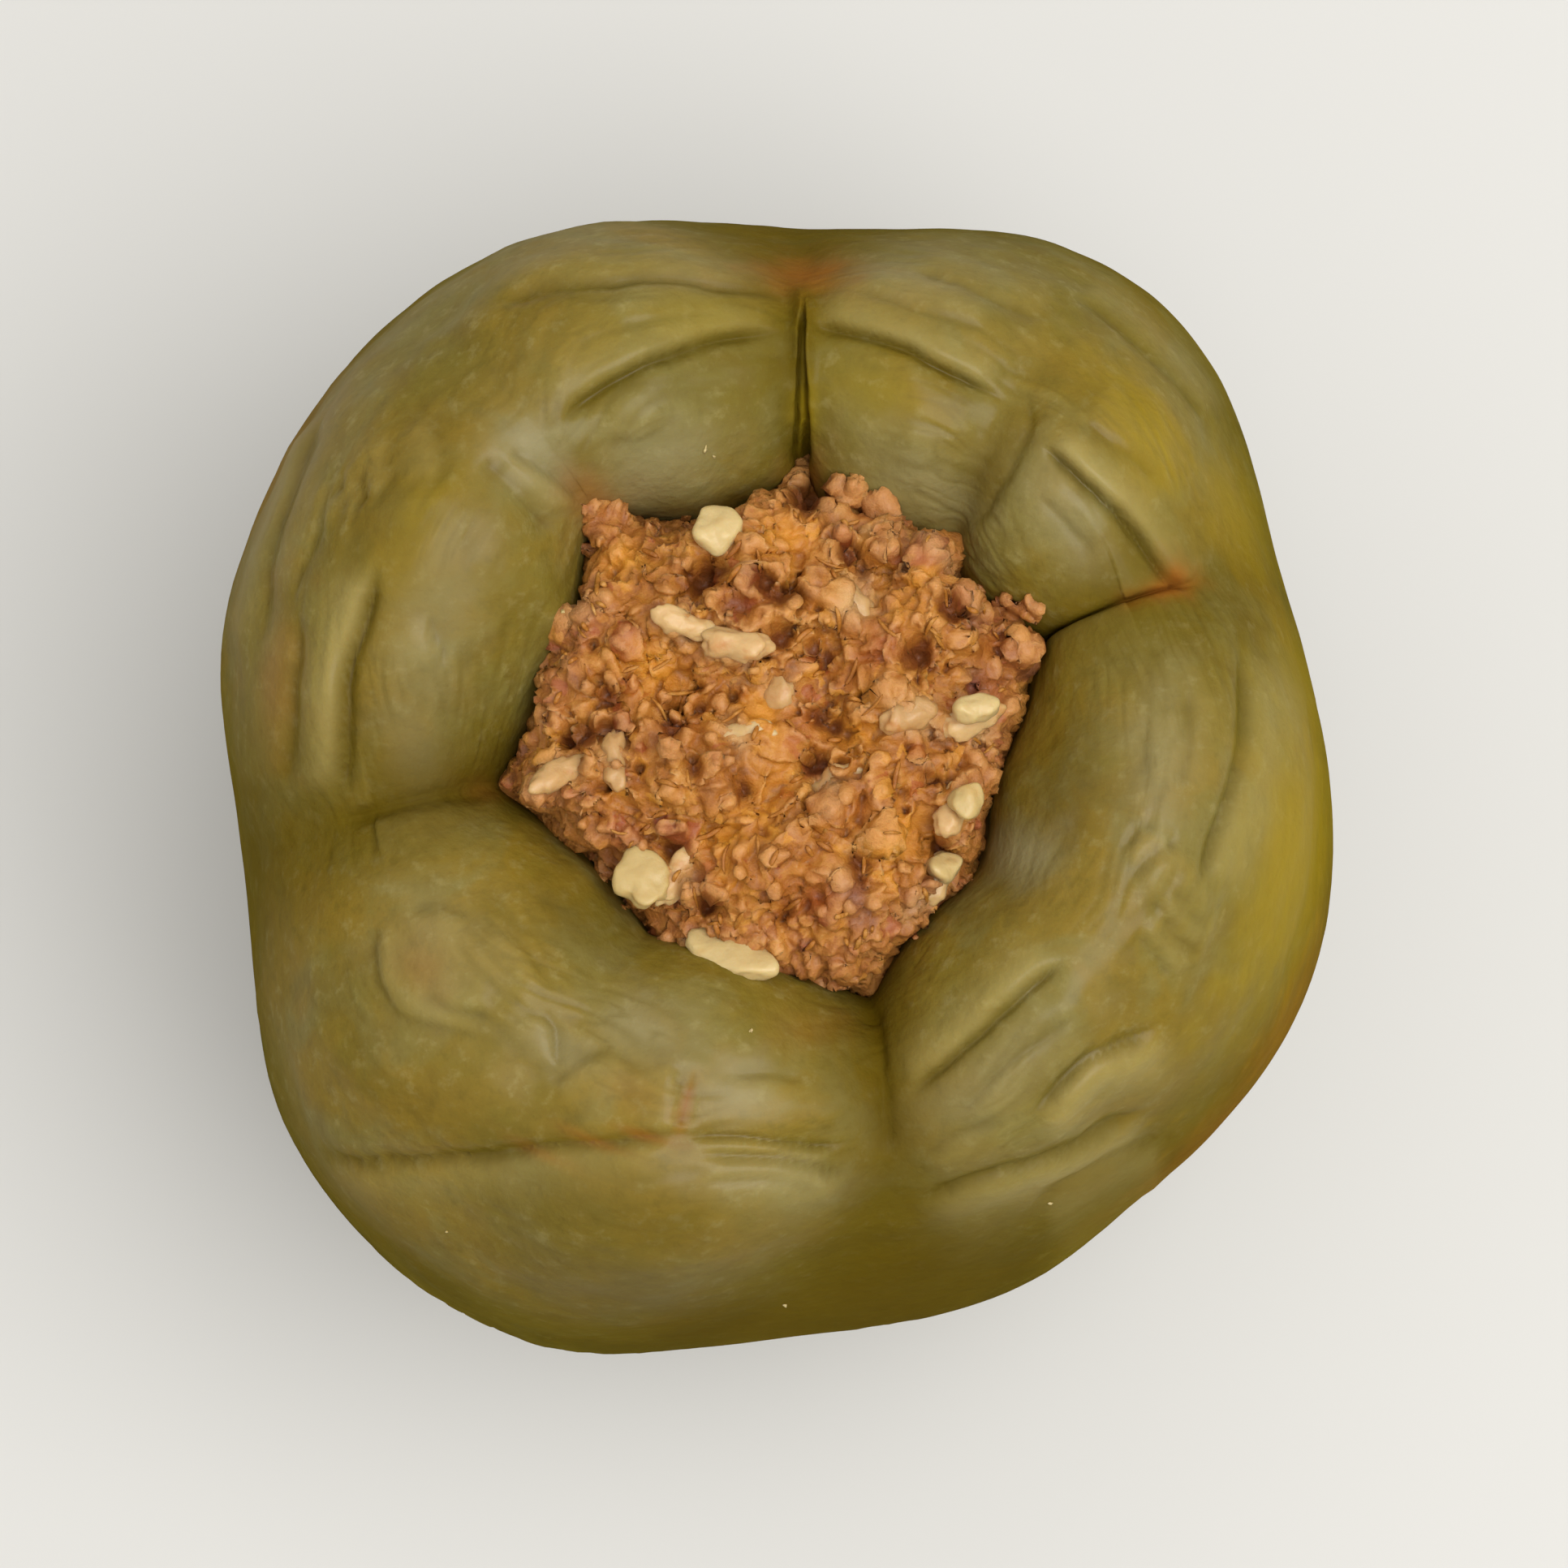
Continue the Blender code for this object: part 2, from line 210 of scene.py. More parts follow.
def column_angles(share, per_sector):
    """The angle of each point: columns run along every groove and furrow, and crowd towards them."""
    lines = [at_stations(g.angle, share) for pair in zip(MAIN_GROOVES, FURROWS) for g in pair]
    lines.append(lines[0] + 360)
    even = np.arange(per_sector) / per_sector
    across = even + COLUMN_CROWDING * (0.5 - 0.5 * np.cos(math.pi * even) - even)
    return np.hstack([a + (b - a) * across for a, b in zip(lines, lines[1:])])


def shared_sizes(k, t):
    """The reach and crest of lobe k at this share of its width, which meet its neighbours' at its ends."""
    to_first, to_second = ease(LOBE_SHARING, 0, t) / 2, ease(LOBE_SHARING, 0, 1 - t) / 2
    own, first, second = LOBES[k], LOBES[k - 1], LOBES[(k + 1) % len(LOBES)]
    return [a + (b - a) * to_first + (c - a) * to_second for a, b, c in zip(own, first, second)]


def lobed_surface(lobe_outline, groove_outline, share, per_sector):
    """Rows of points on a surface that swings between the two outlines, and how high each point swings."""
    lobe_r, lobe_z = np.split(smooth_curve(lobe_outline, share), 2, axis=1)
    groove_r, groove_z = np.split(smooth_curve(groove_outline, share), 2, axis=1)
    share = share[:, None]
    angle = column_angles(share, per_sector)
    creasing = at_stations(CREASING, share)
    per_lobe = 2 * per_sector
    pieces = []
    for k in range(len(LOBES)):
        turn = angle[:, k * per_lobe : (k + 1) * per_lobe]
        first, second = MAIN_GROOVES[k], MAIN_GROOVES[(k + 1) % len(LOBES)]
        start = at_stations(first.angle, share)
        width = degrees_apart(at_stations(second.angle, share), start) % 360
        t = (turn - start) / width
        mix = ease(0, 1, t)
        shows = at_stations(first.showing, share) * (1 - mix) + at_stations(second.showing, share) * mix
        tightness = first.tightness + (second.tightness - first.tightness) * mix
        height = 1 - shows * (1 - swell(2 * np.minimum(t, 1 - t), creasing * tightness))
        groove_reach = first.reach + (second.reach - first.reach) * mix
        pieces.append((height, groove_reach, *shared_sizes(k, t)))
    height, groove_reach, lobe_reach, crest = (np.hstack(part) for part in zip(*pieces))
    for furrow in FURROWS:
        apart = np.abs(degrees_apart(angle, at_stations(furrow.angle, share)))
        dip = 1 - swell(apart / FURROW_HALF_WIDTH, creasing * furrow.tightness)
        height *= 1 - at_stations(furrow.showing, share) * dip
    height = 1 - (1 - height) * ease(0, FOOT_FADE, share)

    def reaching(r, reach):
        return r * (1 + (reach / STANDARD_REACH - 1) * ease(REACH_FROM, REACH_TO, r))

    lobe_z = lobe_z * (1 + (crest / STANDARD_CREST - 1) * ease(CREST_FROM, CREST_TO, lobe_z))
    lobe_r, groove_r = reaching(lobe_r, lobe_reach), reaching(groove_r, groove_reach)
    r = groove_r + (lobe_r - groove_r) * height
    z = groove_z + (lobe_z - groove_z) * height
    return at_turn(np.radians(angle), r, z), height


def outward_normals(rows):
    """Unit normals of rows of points that run up the skin, as an average over each point's neighbours."""
    up = np.gradient(rows, axis=0)
    onward = np.roll(rows, -1, axis=1) - np.roll(rows, 1, axis=1)
    normal = np.cross(onward, up)
    return normal / (np.linalg.norm(normal, axis=-1, keepdims=True) + 1e-9)


def at_turn(turn, distance, height):
    """Points at these turns, in radians, and distances from the axis, and at these heights."""
    return np.stack([AXIS_X + distance * np.cos(turn), AXIS_Y + distance * np.sin(turn), height], axis=-1)


def round_axis(points):
    """Each point's distance from the axis and its angle."""
    x, y = points[..., 0] - AXIS_X, points[..., 1] - AXIS_Y
    return np.hypot(x, y), np.degrees(np.arctan2(y, x))


def fold_depths(rows):
    """How deep the folds press into the skin at each point."""
    radius, angle = round_axis(rows)
    depth = np.zeros_like(radius)
    for fold in FOLDS:
        t = 0.5 + degrees_apart(angle, (fold.start + fold.end) / 2) / (fold.end - fold.start)
        first, middle, last = fold.radii
        line = first * (1 - t) * (1 - 2 * t) + 4 * middle * t * (1 - t) + last * t * (2 * t - 1)
        depth += fold.depth * faded(FOLD_ENDS, t) * np.exp(-(((radius - line) / fold.half_width) ** 2))
    return depth * ease(FOLDS_FROM, FOLDS_TO, rows[..., 2])


def noise_at(points, size, octaves=1):
    """Smooth noise, about -1 to 1, whose lumps are this large, with finer octaves if asked."""
    flat = points.reshape(-1, 3) / size
    if octaves == 1:
        values = [noise.noise(Vector(point)) for point in flat]
    else:
        values = [noise.fractal(Vector(point), 1.0, 2.0, octaves) for point in flat]
    return np.array(values).reshape(points.shape[:-1])


# ---------------- finer detail's sizes

COLUMN_CROWDING = 0.7  # 0 spreads columns evenly between grooves, 1 crowds them hard
SKIN_PER_SECTOR = 46
SKIN_ROWS_BY_SHARE = ((0, 0), (20, 0.22), (66, 0.58), (248, 1))  # row and share, close on the shoulder
CAVITY_ROWS = 14
FOLD_SHARE = 0.3  # of the solids' broad folds; the rest of their depth is in the creases


class Crease(NamedTuple):
    """A fine dark line in the skin through (angle, distance) points, often with a ridge along it."""

    path: tuple
    depth: float
    width: float
    ridge: float = 0.0  # height of the skin pushed up on the outer side; below 0 on the inner side


CREASES = [Crease(*row) for row in (
    # the bottoms of the four grooves and of the sharpest furrow
    (((18.5, 18.2), (19, 22), (19, 26), (18.2, 29.6)), 0.73, 0.31, 0.26),
    (((83.4, 17.4), (84.2, 20), (85.6, 24.5), (86.2, 29)), 0.79, 0.27),
    (((87.0, 17.4), (87.4, 20), (87.0, 24.5), (86.6, 28)), 0.67, 0.27),
    (((191, 18.4), (192, 22), (193, 26), (193, 30)), 0.67, 0.33, -0.22),
    (((289, 19.2), (287.5, 22.5), (286, 26), (284.5, 30.5)), 0.55, 0.47),
    (((45.5, 17.6), (46.5, 20), (47.5, 22.5), (50, 25.6), (54, 27.6)), 0.48, 0.62),
    # back lobe, left of the back groove
    (((126.0, 24.1), (118, 24.3), (108, 24.7), (100.4, 25.3), (91, 26.0)), 0.82, 0.39, 0.3),
    (((125, 33.0), (114.6, 30.9), (104.9, 29.9), (90, 28.6)), 0.47, 0.39, 0.22),
    (((136, 25.0), (133.6, 22.4), (133, 20.0)), 0.3, 0.35, -0.26),
    (((121, 21.6), (116, 20.6), (111, 20.6)), 0.17, 0.39, 0.11),
    (((112, 27.6), (106, 27.2), (99, 27.2)), 0.17, 0.35, 0.11),
    # back lobe, right of the back groove
    (((83.4, 26.5), (76.6, 26.2), (70.8, 26.0), (62.8, 25.6), (53.7, 26.0)), 0.76, 0.33, 0.41),
    (((79, 29.4), (70, 29.0), (61, 29.6)), 0.26, 0.47, 0.19),
    (((74, 32.4), (64, 32.2), (56, 33.0)), 0.26, 0.47, 0.19),
    (((56, 35.6), (51, 36.1), (44, 36.2), (36, 36.6)), 0.26, 0.47, 0.26),
    # right lobe above its groove
    (((45.8, 24.8), (38.1, 25.2), (28.4, 26.6), (21.6, 27.6), (17, 28.6)), 0.73, 0.31, 0.6),
    (((44.5, 28.4), (38.5, 29.2), (31, 30.4)), 0.34, 0.7, 0.15),
    (((40, 22.4), (33, 22.9), (27, 23.8)), 0.17, 0.39, 0.11),
    # right lobe below its groove
    (((9.2, 30.9), (0.2, 30.9), (-8.1, 30.6), (-15.7, 30.1), (-22.4, 29.6)), 0.61, 0.28, 0.34),
    (((4, 27.2), (-4, 27.0), (-12, 26.8)), 0.21, 0.47, 0.15),
    (((0, 24.6), (-6, 24.4), (-12, 24.6)), 0.17, 0.47, 0.15),
    (((-23.0, 24.2), (-19.5, 25.0), (-16.6, 26.1)), 0.38, 0.31, 0.19),
    (((-25.6, 25.4), (-21.5, 26.3), (-17.9, 27.6)), 0.38, 0.31, 0.22),
    (((-26.5, 27.2), (-28.4, 29.4), (-29.8, 31.8)), 0.3, 0.31, 0.22),
    (((-23.6, 27.6), (-25.4, 29.4), (-26.6, 31.2)), 0.26, 0.31, 0.19),
    (((-31.6, 27.6), (-32.4, 29.4), (-33.6, 31)), 0.26, 0.31, 0.19),
    # front right lobe
    (((-71.5, 26.6), (-64, 25.4), (-56.8, 24.8), (-48, 24.7), (-40.4, 25.3)), 0.58, 0.25, -0.41),
    (((-66, 28.8), (-56, 27.6), (-45, 28.0)), 0.26, 0.39, 0.15),
    (((-58.5, 31.2), (-51, 30.6), (-46.8, 30.7), (-37.5, 32.2)), 0.58, 0.3, 0.56),
    (((-75, 33.6), (-63.6, 33.5), (-55.1, 34.6), (-46, 35.3)), 0.58, 0.28, 0.49),
    (((-62, 36.6), (-54, 36.6), (-46, 37.4)), 0.34, 0.31, 0.26),
    (((-72, 30.4), (-66, 30.0), (-61, 30.6)), 0.21, 0.39, 0.19),
    # front left lobe
    (((-138.5, 42.4), (-130, 38.4), (-120.1, 33.4), (-112, 30.4), (-101.5, 28.2)), 0.58, 0.31, 0.26),
    (((-101.5, 28.5), (-94.2, 28.0), (-87.9, 28.3), (-80.8, 29.0)), 0.47, 0.25, 0.26),
    (((-100.4, 29.6), (-92.5, 29.2), (-85.5, 29.7), (-80.2, 30.6)), 0.38, 0.25, 0.3),
    (((-99, 30.9), (-91, 30.6), (-84, 31.2)), 0.21, 0.27, 0.19),
    (((-104.6, 23.8), (-103.0, 26), (-101.6, 28.2)), 0.42, 0.27, 0.26),
    (((-153, 29.0), (-149.6, 31.0), (-144.2, 32.0), (-139, 31.2), (-131.5, 28.6)), 0.26, 0.35, -0.26),
    (((-141.5, 29.9), (-137.0, 29.0), (-132.4, 27.0)), 0.3, 0.31, -0.22),
    (((-152.5, 27.6), (-150.4, 25.4), (-146, 23.8)), 0.26, 0.35, 0.19),
    (((-121.4, 28.6), (-118.4, 25.8), (-114.8, 23.8)), 0.21, 0.39, 0.15),
    (((-128, 24.4), (-124, 25.2), (-121, 27.2)), 0.21, 0.35, 0.15),
    (((-143, 22.8), (-136, 22.4), (-128, 22.8)), 0.17, 0.39, 0.15),
    (((-97, 24.2), (-91, 23.6), (-85, 24.2)), 0.21, 0.39, 0.15),
    # left lobe
    (((160, 27.5), (168.1, 27.8), (175.1, 28.3), (183.9, 28.7), (191, 29.4)), 0.79, 0.39, 0.64),
    (((168, 32.3), (176.2, 32.1), (187, 32.6)), 0.51, 0.62, 0.26),
    (((150.6, 33.6), (155, 33.0), (160, 32.8), (166, 33.2)), 0.3, 0.35, 0.19),
    (((149.2, 31.9), (151.6, 31.1), (154.2, 30.2)), 0.55, 0.28, 0.22),
    (((151.4, 33.0), (153.2, 32.0), (155.2, 31.2)), 0.47, 0.27, 0.19),
    (((144, 31.0), (147, 30.2), (150, 29.2)), 0.3, 0.31, 0.19),
    (((145, 37.4), (152.3, 36.6), (160, 35.6), (172, 34.6)), 0.34, 0.47, 0.34),
    (((138.8, 25.6), (139.9, 22.4), (141, 19.2)), 0.51, 0.39, -0.15),
    (((164.5, 23.6), (167.6, 22.8), (170.2, 22.0)), 0.26, 0.35, 0.15),
    (((139, 30.0), (141, 28.0), (146, 26.4)), 0.3, 0.47, 0.19),
)]


class Pinch(NamedTuple):
    """Where cooked lobes press together and close a groove."""

    start: tuple  # angle and distance of one end of the groove's line, and of the other end
    end: tuple
    comes_in: tuple  # distances between which the pinch comes in, and between which it fades
    fades: tuple
    reach: float  # how far to either side skin is drawn in
    width_left: float  # share of the groove's width that is left
    raised: float  # how far the bottom is pushed up between the lobes


PINCHES = (
    Pinch((84.3, 17), (86.7, 29), (12, 15), (28, 32), 7.0, 0.4, 2.6),
    Pinch((18.6, 18), (18.8, 29), (12, 15), (27, 30), 3.9, 0.27, 0.0),
)
RAISED_HALF_WIDTH = 1.5  # of the skin pushed up in a pinched groove
CREASE_SAMPLES = 33  # points along a crease that distances are measured from
CREASES_FROM = 54.0  # height above which there are creases
CREASE_MARGIN = 5.0  # further than this to the side of a crease it isn't felt
CREASE_ENDS = 0.16  # share of a crease over which it fades at each end
CREASE_END_WIDTH = 0.6  # of a crease's width, at its very ends
CREASE_SHARPNESS = 0.12  # radius of a crease's bottom
CREASE_WIGGLE = ((4.6, 0.32), (1.5, 0.12))  # size and reach of the waver that keeps a crease crooked
RIDGE_REACH = 0.95  # from a crease to the top of its ridge
RIDGE_POWER, RIDGE_HIGHLIGHT_SHOWS = 1.3, 1.6  # how narrow a ridge is, and how strongly its painted highlight shows
SHELF_REACH, SHELF_SHARE = 1.6, 0.2  # the skin dips towards the crease on the side without a ridge
SIDE_BLEND = 0.35  # distance from a crease over which its two sides blend
NOISE_APART = 50  # how far off noise is read for a second value

SWELL_RELIEF = ((9.0, 0.42), (3.6, 0.12))  # size and height of the skin's own unevenness
SMOOTH_SIDES, SMOOTH_BELOW = 0.25, (58, 74)  # the sides keep this share; the rest comes in over this


class Wrinkles(NamedTuple):
    """Faint lines in the skin: how wide a line is, where lines come in and fade on the way up, the size of
    the areas that have them, and the values of noise between which an area comes in."""

    line: float
    comes_in: tuple
    fades: tuple
    area_size: float
    areas: tuple


# The faint wrinkles that run round the opening: the reach that turns are measured at, which makes them
# long, their waver's size and reach, and the spacing and depth of each kind.
RING_REACH, RING_WAVER, RING_KINDS = 7.0, (8.0, 2.2), ((1.9, 0.08), (1.0, 0.04))
RING_WRINKLES = Wrinkles(0.22, (0.6, 0.72), (0.93, 1.0), 6.5, (-0.35, 0.35))  # by share of the outline
# The shallow upright wrinkles low on the sides: width, length and depth.
SIDE_KIND = (2.8, 16.0, 0.3)
SIDE_WRINKLES = Wrinkles(0.3, (8, 20), (40, 56), 17.0, (-0.25, 0.3))  # by height


class Patch(NamedTuple):
    """A soft patch of another look: its middle, its half-width round and along, and its strength."""

    angle: float
    distance: float
    across: float
    along: float
    strength: float


def patches(*rows):
    """Patches from tables of their values."""
    return [Patch(*row) for row in rows]


SHEEN_PATCHES = patches(  # painted sheen: a soft greyish reflection of the overhead light on the wet skin
    (117, 18.5, 5.5, 2.6, 0.8), (58, 18.6, 5.0, 2.6, 0.7), (133, 23.0, 2.2, 3.4, 0.8),
    (168, 23, 6.5, 2.6, 0.5), (184, 24, 4.5, 2.6, 0.5), (-112, 22.6, 3.4, 2.2, 0.8),
    (-96, 24.8, 2.4, 2.2, 0.7), (-29, 18.6, 2.0, 2.6, 0.9), (-60, 28, 7.0, 2.6, 0.6),
    (-122, 26, 2.8, 1.5, 0.8), (-8, 25.5, 6.5, 2.4, 0.6), (150, 36.5, 8.0, 2.2, 0.3),
    (76, 31, 7.0, 2.0, 0.5), (35, 23.5, 4.0, 2.2, 0.6), (-145, 27, 5.0, 3.4, 0.4),
    (-90, 30.6, 6.0, 1.4, 0.6), (96, 30.4, 7.0, 1.6, 0.5),
)
YELLOW_TONE_AND_GLOW = patches(  # the skin's own yellower tone, partly a painted glow of light through thin skin on the lit right side and a painted highlight in the back groove
    (-14, 35.5, 11.0, 3.2, 1.0), (4, 35.5, 7.0, 2.6, 0.6), (38, 31.5, 5.0, 2.6, 0.9),
    (26, 34.5, 5.0, 3.0, 0.6), (84.8, 20.6, 0.8, 2.2, 1.0), (68, 22.6, 5.0, 2.0, 0.4),
    (100, 26.8, 4.5, 1.6, 0.5), (152, 26.0, 5.0, 2.4, 0.5),
)
SAUCE_AND_HIGHLIGHT = patches(  # the red broth, caught in creases and along the wet edges; three patches on the front-left crease are a painted highlight
    (18.6, 27.2, 0.8, 2.0, 1.0), (19.6, 28.2, 1.1, 0.9, 0.9), (18.6, 25.0, 0.7, 1.2, 0.5),
    (86.5, 30.6, 3.0, 1.8, 0.8), (83, 17.0, 1.3, 1.3, 0.8), (-102.6, 26.4, 0.35, 1.8, 0.65),
    # The first three patches on the next line paint a pale highlight along the inner ridge of the front-left
    # crease.
    (-107, 29.0, 1.8, 0.35, 0.65), (-112.5, 30.4, 2.0, 0.35, 0.5), (-118.5, 32.6, 2.2, 0.4, 0.35),
    (-109, 26.6, 2.6, 1.4, 0.15), (130, 19.0, 1.8, 2.0, 0.6), (175, 33.6, 5.0, 1.4, 0.35),
    (-28, 39.6, 8.0, 1.2, 0.4), (-42, 40.0, 8.0, 1.3, 0.4), (192, 20.0, 1.0, 1.6, 0.3),
    (150, 40, 9.0, 1.5, 0.3), (-144, 28.6, 2.0, 1.5, 0.25), (-84, 20.6, 2.4, 1.6, 0.25),
)
SHADE_PATCHES = patches(  # painted shade: dark olive on inner slopes, in hollows and on the lower front sides
    (-17, 19.5, 6.0, 3.0, 0.9), (-34, 19.5, 4.0, 2.6, 0.7), (-132, 18.5, 5.0, 2.4, 0.8),
    (150, 27, 8.0, 5.0, 0.6), (-110, 34.5, 16.0, 4.0, 0.6), (158, 37, 8.0, 3.0, 0.4),
    (-52, 37, 10.0, 3.0, 0.8), (-30, 34, 6.0, 3.0, 0.4), (-74, 37.5, 12.0, 4.0, 0.9),
    (-100, 39.5, 14.0, 4.0, 0.9), (-130, 43, 12.0, 3.0, 0.5), (-44, 39.5, 8.0, 2.5, 0.7),
    (62, 24, 3.0, 2.0, 0.4), (50, 21.5, 1.8, 4.0, 0.9), (131, 20.5, 1.8, 2.6, 0.7),
    (186, 19.0, 3.0, 3.0, 0.5), (187.5, 23.5, 2.0, 3.4, 0.7), (16, 21.0, 2.4, 3.0, 0.5),
    (-71, 21.5, 2.6, 3.6, 0.9), (-74, 27.0, 1.6, 4.0, 0.6),
)
PATCHES_FROM = (38.0, 60.0)  # patches come in between these heights
PATCH_RAGGED = (2.4, 0.7)  # size of the raggedness of a patch's edge, and how much there is

# ---------------- mesh helpers


def pointed(rings):
    """Rings joined up, of which the first and the last are single points."""
    return np.concatenate([rings[0][:1], *rings[1:-1], rings[-1][:1]])


def closed(rings):
    """The points of a surface that runs through rings and comes to a point at both ends, and its faces."""
    points = pointed(rings)
    count, last = len(rings[1]), len(points) - 1
    ring = np.arange(count)
    onward = np.roll(ring, -1)
    top = last - count
    faces = []
    for low in range(1, top, count):
        high = low + count
        faces.extend(np.stack([low + ring, low + onward, high + onward, high + ring], axis=1).tolist())
    faces.extend(np.stack([np.zeros_like(ring), 1 + onward, 1 + ring], axis=1).tolist())
    faces.extend(np.stack([np.full_like(ring, last), top + ring, top + onward], axis=1).tolist())
    return points, faces


def surface_piece(name, rings, masks=None):
    points, faces = closed(rings)
    piece = piece_from(name, points * METRE, faces)
    for mask, values in (masks or {}).items():
        add_mask(piece, mask, pointed(values))
    return piece


def new_object(name, data):
    made = bpy.data.objects.new(name, data)
    bpy.context.scene.collection.objects.link(made)
    return made


def piece_from(name, points, faces):
    mesh = bpy.data.meshes.new(name)
    mesh.from_pydata(points.tolist(), [], faces)
    mesh.shade_smooth()
    return new_object(name, mesh)


def add_mask(piece, name, values):
    """Stores one number a point, which the piece's material reads by name."""
    attribute = piece.data.attributes.new(name, "FLOAT", "POINT")
    attribute.data.foreach_set("value", np.asarray(values, np.float32))


class Joined:
    """Gathers many small meshes into one piece, with a number for each that the material reads."""

    def __init__(self):
        self.points, self.faces, self.tones, self.count = [], [], [], 0

    def add(self, points, faces, tone):
        self.points.append(points)
        self.faces.extend([[k + self.count for k in face] for face in faces])
        self.tones.append(np.full(len(points), tone))
        self.count += len(points)

    def piece(self, name):
        made = piece_from(name, np.vstack(self.points) * METRE, self.faces)
        add_mask(made, "tone", np.concatenate(self.tones))
        return made


def ball(subdivisions):
    """The points and triangles of a ball of radius 1."""
    mesh = bmesh.new()
    bmesh.ops.create_icosphere(mesh, subdivisions=subdivisions, radius=1.0)
    points = np.array([v.co for v in mesh.verts])
    faces = [[v.index for v in f.verts] for f in mesh.faces]
    mesh.free()
    return points, faces


def turned(points, rotation, place):
    """Points turned round the origin and then moved to a place."""
    return points @ np.array(rotation.to_matrix()).T + np.array(place)


ABOVE_ALL = 200  # a height that nothing reaches


class Ground:
    """What crumbs lie on: the highest of some pieces over any place."""

    def __init__(self, *pieces):
        self.trees = [
            BVHTree.FromPolygons([v.co for v in p.data.vertices], [f.vertices for f in p.data.polygons])
            for p in pieces
        ]

    def under(self, x, y):
        """The surface's place, in millimetres, and its normal."""
        casts = [tree.ray_cast(Vector((x, y, ABOVE_ALL)) * METRE, Vector((0, 0, -1))) for tree in self.trees]
        place, normal, *_ = max((cast for cast in casts if cast[0]), key=lambda cast: cast[0].z)
        return place / METRE, normal


# ---------------- the skin


def in_the_plane(angle, distance):
    """The flat (x, y) of points at these angles and distances from the axis."""
    turn = np.radians(angle)
    return np.stack([distance * np.cos(turn), distance * np.sin(turn)], axis=-1)


def nearest_on(path, points):
    """Each point's distance from the path, how far along it the nearest place is, and the side of it."""
    first, run = path[:-1], np.diff(path, axis=0)
    off = points[:, None] - first
    t = np.clip((off * run).sum(-1) / (run**2).sum(-1), 0, 1)
    gap = off - run * t[..., None]
    distances = np.linalg.norm(gap, axis=-1)
    nearest = distances.argmin(axis=1)
    pick = np.arange(len(points))
    outward = (gap[pick, nearest] * (first + run / 2)[nearest]).sum(-1)
    return distances[pick, nearest], (nearest + t[pick, nearest]) / len(run), np.sign(outward)


def crease_relief(rows):
    """The height that creases add, how far each point lies in a crease, which the material paints as shade,
    and how far on a ridge, which it paints as a highlight.
    """
    flat = rows[..., :2] - (AXIS_X, AXIS_Y)
    relief, lines, ridge_highlights = (np.zeros(flat.shape[:2]) for _ in range(3))
    high_enough = rows[..., 2] > CREASES_FROM
    waver = np.zeros_like(flat)
    for size, reach in CREASE_WIGGLE:
        waver[..., 0] += reach * noise_at(rows, size)
        waver[..., 1] += reach * noise_at(rows + NOISE_APART, size)
    wavering = flat + waver
    share = np.linspace(0, 1, CREASE_SAMPLES)
    for crease in CREASES:
        path = in_the_plane(*smooth_curve(crease.path, share).T)
        low, high = path.min(axis=0) - CREASE_MARGIN, path.max(axis=0) + CREASE_MARGIN
        near = high_enough & (wavering > low).all(axis=-1) & (wavering < high).all(axis=-1)
        distance, along, side = nearest_on(path, wavering[near])
        ends = faded(CREASE_ENDS, along)
        width = crease.width * (CREASE_END_WIDTH + (1 - CREASE_END_WIDTH) * ends)
        line = np.exp((CREASE_SHARPNESS - np.hypot(distance, CREASE_SHARPNESS)) / width) * ends
        ridge_side = ease(-SIDE_BLEND, SIDE_BLEND, side * distance * (1 if crease.ridge >= 0 else -1))
        x = distance / RIDGE_REACH
        ridge = (x * np.exp(1 - x)) ** RIDGE_POWER * ends * ridge_side
        shelf = np.exp(-distance / SHELF_REACH) * ends * (1 - ridge_side)
        relief[near] += abs(crease.ridge) * ridge - crease.depth * (line + SHELF_SHARE * shelf)
        lines[near] = np.maximum(lines[near], line * min(1, crease.depth))
        ridge_highlights[near] = np.maximum(ridge_highlights[near], ridge * min(1, RIDGE_HIGHLIGHT_SHOWS * abs(crease.ridge)))
    return relief, lines, ridge_highlights


def patches_over(rows, shapes, raggedness=PATCH_RAGGED):
    """How strongly a set of patches shows at each point."""
    ragged_size, ragged = raggedness
    uneven = 1 + ragged * noise_at(rows, ragged_size, octaves=3)
    radius, angle = round_axis(rows)
    shown = np.zeros_like(radius)
    for patch in shapes:
        across = degrees_apart(angle, patch.angle) * math.pi / 180 * patch.distance / patch.across
        along = (radius - patch.distance) / patch.along
        shown = np.maximum(shown, patch.strength * np.exp(-(across**2 + along**2) * uneven))
    return np.clip(shown, 0, 1) * ease(*PATCHES_FROM, rows[..., 2])


def wrinkled_places(rows, wrinkles, up):
    """How strongly wrinkles show at each point, by how far up it is."""
    in_area = ease(*wrinkles.areas, noise_at(rows, wrinkles.area_size))
    return ease(*wrinkles.comes_in, up) * ease(*wrinkles.fades[::-1], up) * in_area


def side_wrinkles(rows):
    """How deep the upright wrinkles are on the lower sides, where cooked skin draws together."""
    width, length, depth = SIDE_KIND
    radius, angle = round_axis(rows)
    stretched = np.dstack([in_the_plane(angle, radius), rows[..., 2] * width / length])
    line = 1 - ease(0, SIDE_WRINKLES.line, np.abs(noise_at(stretched, width, octaves=2)))
    return depth * line * wrinkled_places(rows, SIDE_WRINKLES, rows[..., 2])


